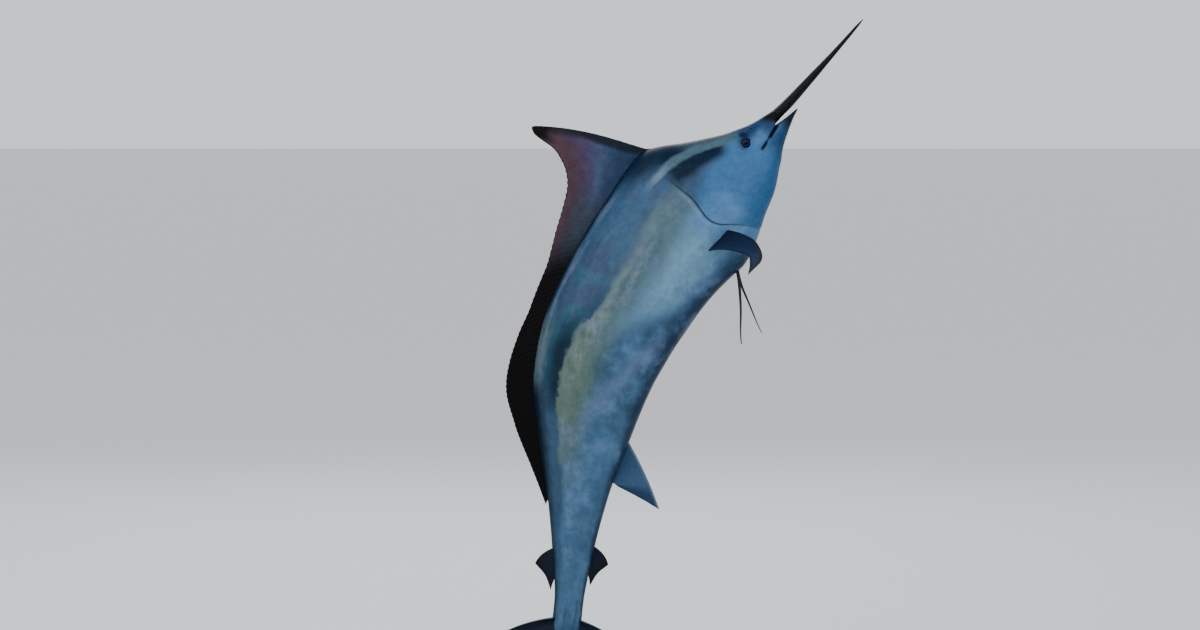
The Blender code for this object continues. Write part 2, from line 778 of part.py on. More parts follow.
def pectoral(name, hand):
    """A pectoral fin, spread and swept: a sickle whose rays run out to its tip and its rear edge."""
    rays = []
    for i in range(PECTORAL_RAYS):
        first = i / (PECTORAL_RAYS - 1)
        stop = 1.0 - (1.0 - PECTORAL_REAR_RAY) * first**PECTORAL_CROWDING
        ray = []
        for t in np.linspace(0.0, 1.0, PECTORAL_ROWS + 1):
            front, rear = along(PECTORAL_FRONT, t * stop), along(PECTORAL_REAR, t * stop)
            place = front + (rear - front) * first ** (1.0 - t**PECTORAL_NARROWING)
            ray.append(place * [1.0, 1.0, hand])
        rays.append(ray)
    return fin(name, rays, THICK_FIN, "fin")


def pelvic(name, line):
    """A pelvic fin, a long narrow blade of three rays."""
    rays = []
    for side in (-1.0, 0.0, 1.0):
        ray = []
        for t in np.linspace(0.0, 1.0 - PELVIC_STEP, PELVIC_ROWS + 1):
            here, ahead = along(line, t), along(line, t + PELVIC_STEP)
            across = np.cross((ahead - here) / np.linalg.norm(ahead - here), [0.0, 0.0, 1.0])
            width = PELVIC_WIDTH[0] + (PELVIC_WIDTH[1] - PELVIC_WIDTH[0]) * t**PELVIC_TAPER
            ray.append(here + across * side * width)
        rays.append(ray)
    return fin(name, rays, THIN_FIN, "fin")


def tail_lobe(name, side):
    """One lobe of the tail fin. side is 1 for the upper lobe and -1 for the lower one."""
    rays = []
    for i in range(TAIL_RAYS):
        share = i / (TAIL_RAYS - 1)
        root = np.array([TAIL_ROOT[0], side * (TAIL_ROOT[1] * (1 - share) + GAP / 2 * share), 0.0])
        s_edge, h_edge = along(TAIL_REAR, share)
        edge = np.array([s_edge, side * max(h_edge, GAP / 2), 0.0])
        bow = (root + edge) / 2
        bow += (np.array([TAIL_BOW[0], side * TAIL_BOW[1], 0.0]) - bow) * (1 - share) ** TAIL_FANNING
        rays.append(bent(root, bow, edge, FIN_ROWS))
    return fin(name, rays, TAIL_FIN, "fin")


def build_fins(body, rod_socket):
    """Every fin, cut to the skin that it grows from."""
    large, small = (ANAL_FIN_RAYS, FIN_ROWS), (SMALL_FIN_RAYS, SMALL_FIN_ROWS)
    made = [
        dorsal_lobe(),
        dorsal_ribbon(),
        median_fin("second_dorsal_fin", SECOND_DORSAL_FIN, 1, small, THIN_FIN, "fin"),
        median_fin("anal_fin", ANAL_FIN, -1, large, THICK_FIN, "anal_fin"),
        median_fin("second_anal_fin", SECOND_ANAL_FIN, -1, small, THIN_FIN, "fin"),
        pectoral("pectoral_fin_right", 1),
        pectoral("pectoral_fin_left", -1),
        pelvic("pelvic_fin_right", PELVIC_RIGHT),
        pelvic("pelvic_fin_left", PELVIC_LEFT),
    ]
    for piece in made:
        cut(piece, [body])
    for name, side in (("caudal_fin_upper", 1), ("caudal_fin_lower", -1)):
        cut(tail_lobe(name, side), [body, rod_socket])


def build_base():
    """The flat base: rounded corners and a bevelled upper rim."""
    shell = bmesh.new()
    bmesh.ops.create_cube(shell, size=1.0)
    bmesh.ops.scale(shell, vec=BASE_SIZE, verts=shell.verts)
    bmesh.ops.translate(shell, vec=(0.0, 0.0, BASE_SIZE[2] / 2), verts=shell.verts)
    upright = [edge for edge in shell.edges if abs(edge.verts[0].co.z - edge.verts[1].co.z) > BASE_SIZE[2] / 2]
    bmesh.ops.bevel(shell, geom=upright, offset=BASE_CORNER, segments=6, profile=0.5, affect="EDGES")
    rim = [edge for edge in shell.edges if all(vert.co.z > BASE_SIZE[2] - GAP for vert in edge.verts)]
    bmesh.ops.bevel(shell, geom=rim, offset=BASE_BEVEL, segments=2, profile=0.5, affect="EDGES")
    finish("stand_base", shell, "base")


def build_rods(tail_foot, tail_head, body):
    """The rod under the tail, and the one that leans in to the left flank."""
    rod("stand_rod_tail", tail_foot, tail_head, ROD_RADIUS)
    foot = np.array([*FLANK_ROD_FOOT, BASE_SIZE[2] + GAP])
    aim = frame(FLANK_ROD_AT * JAW_FORK)[0]
    brace = rod("stand_rod_flank", foot + (foot - aim) * FLANK_ROD_SPARE, aim, FLANK_ROD_RADIUS)
    depth, radius = FLOOR_CUTTER
    floor = helper(rod("floor", foot - [0.0, 0.0, depth], foot, radius))
    cut(brace, [body, floor])
    drop([floor])


def main():
    """Builds the fish and its stand."""
    for old in list(bpy.data.objects):
        bpy.data.objects.remove(old)
    root = frame(STOCK_END)[0]
    foot = np.array([root[0], root[1], BASE_SIZE[2] + GAP])
    head = np.array([root[0], root[1], root[2] + TAIL_ROD_DEPTH])
    upward = np.array([0.0, 0.0, GAP])
    socket = helper(rod("socket", foot - upward, head + upward, ROD_RADIUS + GAP))
    cutter_rings = torso_rings(ROOT_GAP) + stock_rings(ROOT_GAP, STOCK_END + ROOT_GAP)[1:]
    body = helper(loft("body_cutter", cutter_rings, "skin"))
    build_head()
    build_trunk(socket)
    build_fins(body, socket)
    build_base()
    build_rods(foot, head, body)
    drop([socket, body])


main()
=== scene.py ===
"""Dresses a leaping blue marlin, held over a flat base by two rods, for its final pictures.

The fish is drawn along a curved spine, as its solids are. A place on it is (s, h, r): the distance s from
the tip of the lower jaw along the spine towards the tail, the height h towards the back, and the reach r
to the right. Metres, +Z up. The right side faces -Y, the head points up and towards +X.
"""

import logging
import math
from collections.abc import Callable, Mapping, Sequence
from dataclasses import dataclass, field
from enum import Enum

import bmesh
import bpy
import numpy as np
from bmesh.types import BMEdge, BMVert
from bpy.types import Material, NodeSocket, Object
from mathutils import Matrix, Vector


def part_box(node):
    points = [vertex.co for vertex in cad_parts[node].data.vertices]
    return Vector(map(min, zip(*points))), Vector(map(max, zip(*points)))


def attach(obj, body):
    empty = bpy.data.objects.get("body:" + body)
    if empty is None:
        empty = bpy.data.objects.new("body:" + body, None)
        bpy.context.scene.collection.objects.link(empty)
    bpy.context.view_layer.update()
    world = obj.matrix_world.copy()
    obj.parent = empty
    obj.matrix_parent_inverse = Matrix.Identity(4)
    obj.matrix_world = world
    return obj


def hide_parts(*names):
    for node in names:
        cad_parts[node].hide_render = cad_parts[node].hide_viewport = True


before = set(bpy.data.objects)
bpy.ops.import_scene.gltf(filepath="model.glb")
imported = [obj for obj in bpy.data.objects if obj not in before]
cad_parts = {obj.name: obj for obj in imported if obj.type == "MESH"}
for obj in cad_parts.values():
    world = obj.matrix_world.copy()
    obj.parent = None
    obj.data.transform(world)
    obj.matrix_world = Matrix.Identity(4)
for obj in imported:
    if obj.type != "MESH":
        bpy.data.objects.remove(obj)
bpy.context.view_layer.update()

LOG = logging.getLogger("marlin")
BODY = "root"

Row = Sequence[float]
Rows = Sequence[Row]
Pair = tuple[float, float]
Triple = tuple[float, float, float]
Colour = str  # six hexadecimal digits
Numbers = np.ndarray | float
Loop = Sequence[BMVert]


class Side(Enum):
    """The two sides of the fish, and the sign of the reach on each."""

    RIGHT = 1
    LEFT = -1


def rise(low: float, high: float, value: Numbers) -> np.ndarray:
    """Climbs smoothly from 0 where the value is low to 1 where it is high, which may be the smaller one."""
    share = np.clip((np.asarray(value, float) - low) / (high - low), 0.0, 1.0)
    return share * share * (3.0 - 2.0 * share)


def hill(centre: float, spread: float, value: Numbers) -> np.ndarray:
    """Is 1 where the value is the centre, and falls away on both sides over the spread."""
    return np.exp(-(((np.asarray(value, float) - centre) / spread) ** 2))


def shade(code: Colour) -> Triple:
    """Turns a colour into the linear values that a shader takes, with the numbers of the sRGB standard.

    Args:
        code: Its six digits.

    Returns:
        Red, green and blue.
    """
    parts = [int(code[k : k + 2], 16) / 255.0 for k in (0, 2, 4)]
    red, green, blue = (c / 12.92 if c <= 0.04045 else ((c + 0.055) / 1.055) ** 2.4 for c in parts)
    return red, green, blue


class Curve:
    """A smooth curve through rows of numbers that never overshoots between two rows."""

    def __init__(self, rows: Rows, column: int = 1) -> None:
        """Reads one column of the rows.

        Args:
            rows: Rows that start with the place along the curve.
            column: The column that holds its value.
        """
        table = sorted(rows)
        self.places = np.array([row[0] for row in table], float)
        self.values = np.array([row[column] for row in table], float)
        self.steps = np.diff(self.places)
        slopes = np.diff(self.values) / self.steps
        self.bends = np.zeros(len(self.places))
        for i in range(1, len(self.places) - 1):
            if slopes[i - 1] * slopes[i] > 0:
                ahead = 2 * self.steps[i] + self.steps[i - 1]
                behind = self.steps[i] + 2 * self.steps[i - 1]
                self.bends[i] = (ahead + behind) / (ahead / slopes[i - 1] + behind / slopes[i])
        self.bends[0], self.bends[-1] = slopes[0], slopes[-1]

    def __call__(self, where: Numbers) -> np.ndarray:
        """Gives the curve's value at each place.

        Args:
            where: The places, which the ends of the curve hold back.

        Returns:
            The values.
        """
        where = np.clip(np.asarray(where, float), self.places[0], self.places[-1])
        i = np.clip(np.searchsorted(self.places, where) - 1, 0, len(self.steps) - 1)
        t = (where - self.places[i]) / self.steps[i]
        start = (1 + 2 * t) * (1 - t) ** 2 * self.values[i] + t * (1 - t) ** 2 * self.steps[i] * self.bends[i]
        end = t * t * (3 - 2 * t) * self.values[i + 1] + t * t * (t - 1) * self.steps[i] * self.bends[i + 1]
        return start + end


class Path:
    """A smooth open curve through a few places."""

    def __init__(self, places: Rows) -> None:
        """Measures the way along the places.

        Args:
            places: The places, in order.
        """
        spots = np.array(places, float)
        reach = np.concatenate([[0.0], np.cumsum(np.linalg.norm(np.diff(spots, axis=0), axis=1))])
        self.length = float(reach[-1])
        self.curves = [Curve(list(zip(reach, column))) for column in spots.T]

    def __call__(self, share: Numbers) -> np.ndarray:
        """Gives the place at each share of the way."""
        return np.stack([curve(np.asarray(share) * self.length) for curve in self.curves], axis=-1)


def bent(start: np.ndarray, control: np.ndarray, end: np.ndarray, rows: int) -> np.ndarray:
    """Places along a curve from start to end that control pulls aside, one more than there are rows."""
    t = np.linspace(0.0, 1.0, rows + 1)[:, None]
    return (1 - t) ** 2 * start + 2 * t * (1 - t) * control + t * t * end


@dataclass
class Spine:
    """The curved line that the fish is drawn along."""

    length: float = 3.10  # tip of the lower jaw to the fork of the tail
    tip: Triple = (0.78, 0.0, 3.165)
    bill_lean: float = math.radians(41.7)
    nape_lean: float = math.radians(52.0)
    tail_lean: float = math.radians(7.0)
    nape_span: Pair = (0.07, 0.15)  # shares of the length over which the lean changes
    back_span: Pair = (0.15, 0.62)
    tail_swing: float = 0.16  # the tail is swung this far to the left
    swing_span: Pair = (0.45, 1.0)
    step: float = 0.005
    end: float = 3.5
    stations: np.ndarray = field(init=False)
    x: np.ndarray = field(init=False)
    z: np.ndarray = field(init=False)

    def __post_init__(self) -> None:
        """Follows the lean from the tip of the lower jaw."""
        self.stations = np.arange(0.0, self.end, self.step)
        middle = self.lean(self.stations + self.step / 2)
        self.x = self.tip[0] - np.concatenate([[0.0], np.cumsum(np.sin(middle) * self.step)[:-1]])
        self.z = self.tip[2] - np.concatenate([[0.0], np.cumsum(np.cos(middle) * self.step)[:-1]])

    def lean(self, s: Numbers) -> np.ndarray:
        """How far the spine leans from the vertical at each s.

        Args:
            s: Distances along the spine.

        Returns:
            The leans, in radians.
        """
        share = np.asarray(s, float) / self.length
        head = (self.nape_lean - self.bill_lean) * rise(*self.nape_span, share)
        return self.bill_lean + head + (self.tail_lean - self.nape_lean) * rise(*self.back_span, share)

    def axes(self, s: Numbers) -> tuple[np.ndarray, ...]:
        """Gives the spine's place at each s, and the directions towards the tail, the back and the right.

        Args:
            s: Distances along the spine.

        Returns:
            Place, tailward, back and right, each as rows of three.
        """
        s = np.atleast_1d(np.asarray(s, float))
        slant = self.lean(s)
        ahead = np.minimum(s, 0.0)
        x = np.interp(s, self.stations, self.x) - ahead * np.sin(slant)
        z = np.interp(s, self.stations, self.z) - ahead * np.cos(slant)
        start, end = (share * self.length for share in self.swing_span)
        t = np.clip((s - start) / (end - start), 0.0, 1.0)
        aside = self.tail_swing * t * t * (3 - 2 * t)
        growth = self.tail_swing * 6 * t * (1 - t) / (end - start)
        tailward = np.stack([-np.sin(slant), growth, -np.cos(slant)], axis=-1)
        tailward /= np.linalg.norm(tailward, axis=-1, keepdims=True)
        back = np.stack([-np.cos(slant), np.zeros_like(slant), np.sin(slant)], axis=-1)
        return np.stack([x, aside, z], axis=-1), tailward, back, np.cross(back, tailward)

    def point(self, s: Numbers, h: Numbers, r: Numbers = 0.0) -> np.ndarray:
        """Gives the world place of each (s, h, r)."""
        place, _, back, right = self.axes(s)
        return place + back * np.atleast_1d(h)[:, None] + right * np.atleast_1d(r)[:, None]


class Section:
    """The outline across a length of the fish, from its widest height, top, bottom and half width."""

    powers = (1.95, 2.15)  # how square the upper and the lower half are; 2 is an ellipse

    def __init__(self, middle: Curve, top: Curve, bottom: Curve, wide: Curve) -> None:
        """Takes the curves of the widest height, the top, the bottom and the half width."""
        self.middle, self.top, self.bottom, self.wide = middle, top, bottom, wide

    def outline(self, s: np.ndarray, angle: np.ndarray, grow: Numbers = 0.0) -> tuple[np.ndarray, ...]:
        """Gives the height and the reach of the outline.

        Args:
            s: Distances along the spine.
            angle: Angles from the back round the right side, in radians.
            grow: How far the surface is raised there.

        Returns:
            Heights and reaches.
        """
        up, out = np.cos(angle), np.sin(angle)
        middle, above = self.middle(s), up >= 0
        power = 2.0 / np.where(above, *self.powers)
        climb = np.where(above, self.top(s) - middle, middle - self.bottom(s)) + grow
        h = middle + np.copysign(climb * np.abs(up) ** power, up)
        return h, np.copysign((self.wide(s) + grow) * np.abs(out) ** power, out)

    def angle_at(self, s: np.ndarray, h: np.ndarray) -> np.ndarray:
        """Gives the angle at which the outline has a height.

        Args:
            s: Distances along the spine.
            h: The heights.

        Returns:
            Angles from the back, in radians.
        """
        middle = self.middle(s)
        above = h >= middle
        climb = np.where(above, self.top(s) - middle, middle - self.bottom(s))
        share = np.clip(np.abs(h - middle) / climb, 0.0, 1.0) ** (np.where(above, *self.powers) / 2.0)
        return np.arccos(np.where(above, share, -share))


SPINE = Spine()
MOUTH_CORNER = 0.273
BILL_START = 0.098
EYE_SPOT = (0.308, 0.069)  # s and h of the middle of the eye
VENT = 0.645 * SPINE.length
STOCK_END = 0.968 * SPINE.length
FIN_SINK = 0.030  # of a fin's root

# Both jaws: s, top of the head, edge of the upper lip, edge of the lower lip, underside, half width
JAW_ROWS = (
    (0.273, 0.1421, -0.0095, -0.0105, -0.1371, 0.0851),
    (0.250, 0.1310, -0.0052, -0.0080, -0.1235, 0.0800),
    (0.228, 0.1205, -0.0010, -0.0040, -0.1075, 0.0745),
    (0.208, 0.1120, 0.0046, 0.0016, -0.0940, 0.0695),
    (0.175, 0.1000, 0.0105, 0.0072, -0.0760, 0.0620),
    (0.140, 0.0900, 0.0162, 0.0122, -0.0600, 0.0530),
    (0.125, 0.0860, 0.0200, 0.0110, -0.0540, 0.0500),
    (0.112, 0.0830, 0.0240, 0.0085, -0.0480, 0.0460),
    (0.080, 0.0760, 0.0225, 0.0040, -0.0360, 0.0360),
    (0.056, 0.0730, 0.0210, 0.0010, -0.0270, 0.0280),
    (0.030, 0.0710, 0.0195, -0.0020, -0.0190, 0.0190),
    (0.015, 0.0700, 0.0190, -0.0045, -0.0155, 0.0130),
    (0.000, 0.0690, 0.0180, -0.0070, -0.0110, 0.0050),
)

# Head, trunk and tail stock: share of the length, top, bottom, half width
BODY_SIZES = (
    (0.120, 0.181, 0.216, 0.115),
    (0.150, 0.222, 0.273, 0.140),
    (0.180, 0.270, 0.333, 0.160),
    (0.210, 0.328, 0.378, 0.176),
    (0.240, 0.364, 0.399, 0.187),
    (0.270, 0.350, 0.398, 0.194),
    (0.320, 0.321, 0.392, 0.198),
    (0.400, 0.310, 0.376, 0.195),
    (0.500, 0.325, 0.322, 0.178),
    (0.560, 0.320, 0.272, 0.160),
    (0.650, 0.264, 0.200, 0.128),
    (0.750, 0.185, 0.127, 0.090),
    (0.850, 0.120, 0.086, 0.055),
    (0.930, 0.080, 0.069, 0.036),
    (0.966, 0.077, 0.071, 0.031),
    (0.974, 0.073, 0.068, 0.024),
    (0.981, 0.062, 0.058, 0.016),
    (0.986, 0.044, 0.041, 0.010),
    (0.988, 0.030, 0.028, 0.006),
)
HULL_ROWS = [(row[0], row[1], row[4], row[5]) for row in JAW_ROWS]
HULL_ROWS += [(share * SPINE.length, top, -bottom, wide) for share, top, bottom, wide in BODY_SIZES]
HULL = [Curve(HULL_ROWS, column) for column in (1, 2, 3)]
WIDEST_REAR = [(0.372, -0.003), (0.465, 0.0), (3.3, 0.0)]
TRUNK, LOWER_JAW = (
    Section(Curve([(row[0], row[column]) for row in JAW_ROWS] + WIDEST_REAR), *HULL) for column in (2, 3)
)

# Upper jaw and bill: s, widest height, top, bottom, half width
BILL_ROWS = (
    (0.273, 0.006, 0.142, 0.002, 0.085),
    (0.215, 0.018, 0.114, 0.008, 0.072),
    (0.158, 0.036, 0.095, 0.016, 0.059),
    (0.098, 0.050, 0.079, 0.0225, 0.045),
    (0.000, 0.044, 0.069, 0.018, 0.035),
    (-0.150, 0.042, 0.062, 0.022, 0.026),
    (-0.350, 0.041, 0.053, 0.030, 0.016),
    (-0.500, 0.043, 0.050, 0.037, 0.008),
    (-0.551, 0.044, 0.046, 0.042, 0.003),
)
BILL = Section(*(Curve(BILL_ROWS, column) for column in (1, 2, 3, 4)))

# The rear edge of the gill covers: degrees from the back round to the belly, s
GILL_ROWS = (
    (0, 0.712),
    (60, 0.712),
    (88, 0.693),
    (101, 0.701),
    (110, 0.680),
    (119, 0.625),
    (140, 0.552),
    (180, 0.500),
)
GILL_EDGE = Curve(GILL_ROWS)

# The olive band along the flank: s, upper edge, lower edge
BAND_ROWS = (
    (0.690, 0.110, -0.040),
    (0.811, 0.128, -0.050),
    (0.995, 0.088, -0.080),
    (1.136, 0.074, -0.075),
    (1.352, 0.093, -0.050),
    (1.470, 0.140, -0.020),
    (1.586, 0.166, 0.018),
    (1.741, 0.190, 0.039),
    (1.895, 0.186, 0.068),
    (2.200, 0.120, 0.060),
    (2.800, 0.050, 0.030),
)
BAND_TOP = Curve(BAND_ROWS, 1)
BAND_LOW = Curve(BAND_ROWS, 2)


class Value:
    """A socket of a shader that can stand in sums as a Python number does."""

    def __init__(self, graph: "Graph", socket: NodeSocket) -> None:
        """Wraps a socket of a graph."""
        self.graph = graph
        self.socket = socket

    def __add__(self, other: "Value | float") -> "Value":
        """Adds."""
        return self.graph.maths("ADD", self, other)

    def __sub__(self, other: "Value | float") -> "Value":
        """Takes away."""
        return self.graph.maths("SUBTRACT", self, other)

    def __rsub__(self, other: "Value | float") -> "Value":
        """Takes this away from a number."""
        return self.graph.maths("SUBTRACT", other, self)

    def __mul__(self, other: "Value | float") -> "Value":
        """Multiplies."""
        return self.graph.maths("MULTIPLY", self, other)

    def __truediv__(self, other: "Value | float") -> "Value":
        """Divides."""
        return self.graph.maths("DIVIDE", self, other)

    __radd__ = __add__
    __rmul__ = __mul__


Input = Value | float | Sequence[float] | Colour


class Graph:
    """The nodes of one material."""

    def __init__(self, name: str) -> None:
        """Makes a material with a Principled shader.

        Args:
            name: The material's name.
        """
        self.material = bpy.data.materials.new(name)
        self.material.use_nodes = True
        self.tree = self.material.node_tree
        self.shader = self.tree.nodes["Principled BSDF"]

    def put(self, socket: NodeSocket, value: Input) -> None:
        """Links a value to a socket, or sets the socket.

        Args:
            socket: The socket.
            value: Another node's output, a number, a vector or a colour.
        """
        if isinstance(value, Value):
            self.tree.links.new(value.socket, socket)
        elif socket.type == "RGBA":
            socket.default_value = (*shade(value), 1.0)
        else:
            socket.default_value = value

    def node(
        self, kind: str, settings: Mapping[str, object], inputs: Mapping[str | int, Input], out: str | int = 0
    ) -> Value:
        """Adds one node.

        Args:
            kind: The node's type.
            settings: Its own settings, which are set first.
            inputs: Values or links for its sockets, by name or number.
            out: The output that is wanted.

        Returns:
            That output.
        """
        made = self.tree.nodes.new(kind)
        for name, value in settings.items():
            setattr(made, name, value)
        for name, value in inputs.items():
            self.put(made.inputs[name], value)
        return Value(self, made.outputs[out])

    def maths(self, operation: str, first: Input, second: Input) -> Value:
        """Works out one sum of two numbers."""
        return self.node("ShaderNodeMath", {"operation": operation}, {0: first, 1: second})

    def rise(self, low: float, high: float, value: Value) -> Value:
        """Climbs smoothly from 0 at low to 1 at high, or the other way where low is the larger.

        Args:
            low: Where the result is 0.
            high: Where the result is 1.
            value: What is measured.

        Returns:
            The share climbed.
        """
        ends = {"From Min": min(low, high), "From Max": max(low, high)}
        settings = {"interpolation_type": "SMOOTHSTEP"}
        made = self.node("ShaderNodeMapRange", settings, {"Value": value, **ends})
        return 1.0 - made if low > high else made

    def between(self, low: float, high: float, soft: float, value: Value) -> Value:
        """Is 1 from low to high, and 0 outside, with soft ends."""
        return self.rise(low - soft, low + soft, value) * self.rise(high + soft, high - soft, value)

    def mix(self, factor: Input, first: Input, second: Input) -> Value:
        """Mixes two colours, at the node's sockets for colours."""
        return self.node("ShaderNodeMix", {"data_type": "RGBA"}, {0: factor, 6: first, 7: second}, 2)

    def paint(self, colour: Input, *layers: tuple[Input, Value]) -> Input:
        """Lays colours over one another.

        Args:
            colour: The lowest one.
            *layers: The others, in order, each with the mask that says how much of it shows.

        Returns:
            The colour that comes out.
        """
        for layer, mask in layers:
            colour = self.mix(mask, colour, layer)
        return colour

    def dim(self, colour: Value, factor: Value) -> Value:
        """Makes a colour lighter or darker."""
        return self.node("ShaderNodeVectorMath", {"operation": "SCALE"}, {0: colour, "Scale": factor})

    def lightness(self, colour: Value) -> Value:
        """How light a colour is."""
        return self.node("ShaderNodeRGBToBW", {}, {"Color": colour})

    def near(self, along: Value, up: Value, inner: float, outer: float) -> Value:
        """Is 1 within the inner radius of a spot that lies along and up away, and 0 past the outer one."""
        return self.rise(outer**2, inner**2, along * along + up * up)

    def attribute(self, name: str) -> Value:
        """Reads a vector that the mesh holds."""
        return self.node("ShaderNodeAttribute", {"attribute_name": name}, {}, "Vector")

    def number(self, name: str) -> Value:
        """Reads a number that the mesh holds."""
        return self.node("ShaderNodeAttribute", {"attribute_name": name}, {}, "Fac")

    def parts(self, name: str) -> tuple[Value, ...]:
        """Reads the three numbers of a vector that the mesh holds."""
        split = self.node("ShaderNodeSeparateXYZ", {}, {"Vector": self.attribute(name)}).socket.node
        return tuple(Value(self, socket) for socket in split.outputs)

    def place(self) -> Value:
        """The place on the object, in metres."""
        return self.node("ShaderNodeTexCoord", {}, {}, "Object")

    def stretch(self, vector: Value, scale: Sequence[float]) -> Value:
        """Scales a vector by three numbers."""
        return self.node("ShaderNodeVectorMath", {"operation": "MULTIPLY"}, {0: vector, 1: scale})

    def noise(self, vector: Value, scale: float, detail: float = 3.0, rough: float = 0.5) -> Value:
        """Soft noise from -0.5 to 0.5."""
        inputs = {"Vector": vector, "Scale": scale, "Detail": detail, "Roughness": rough}
        return self.node("ShaderNodeTexNoise", {}, inputs) - 0.5

    def cells(self, vector: Value) -> Value:
        """The distance to the middle of the nearest cell, with cells about 1 wide."""
        return self.node("ShaderNodeTexVoronoi", {}, {"Vector": vector, "Scale": 1.0})

    def wave(self, turn: Value) -> Value:
        """A wave from 0 to 1, of a turn in radians."""
        return self.maths("SINE", turn, 0.0) * 0.5 + 0.5

    def bump(self, height: Value, distance: float, under: Value | None = None) -> Value:
        """Turns a height into a normal, on top of another one; a height of 1 is the distance, in metres."""
        below = {} if under is None else {"Normal": under}
        return self.node("ShaderNodeBump", {}, {"Height": height, "Distance": distance, **below})

    def close(self, **sockets: Input) -> Material:
        """Feeds the shader and hands the material over.

        Args:
            **sockets: The shader's sockets, with _ for a space.

        Returns:
            The material.
        """
        for name, value in sockets.items():
            self.put(self.shader.inputs[name.replace("_", " ")], value)
        return self.material


@dataclass(frozen=True)
class Reading:
    """What the skin's finish knows of a point."""

    s: Value
    h: Value
    level: Value  # the height as a share of the back's or the belly's
    above: Value  # the height over the olive band's upper edge
    over: Value  # the height over its lower edge
    behind: Value  # the distance behind the gill cover's edge
    drift: Value  # wide noise
    patch: Value  # noise a hand wide
    mottle: Value  # noise a thumb wide
    blotch: Value  # noise drawn out along the fish


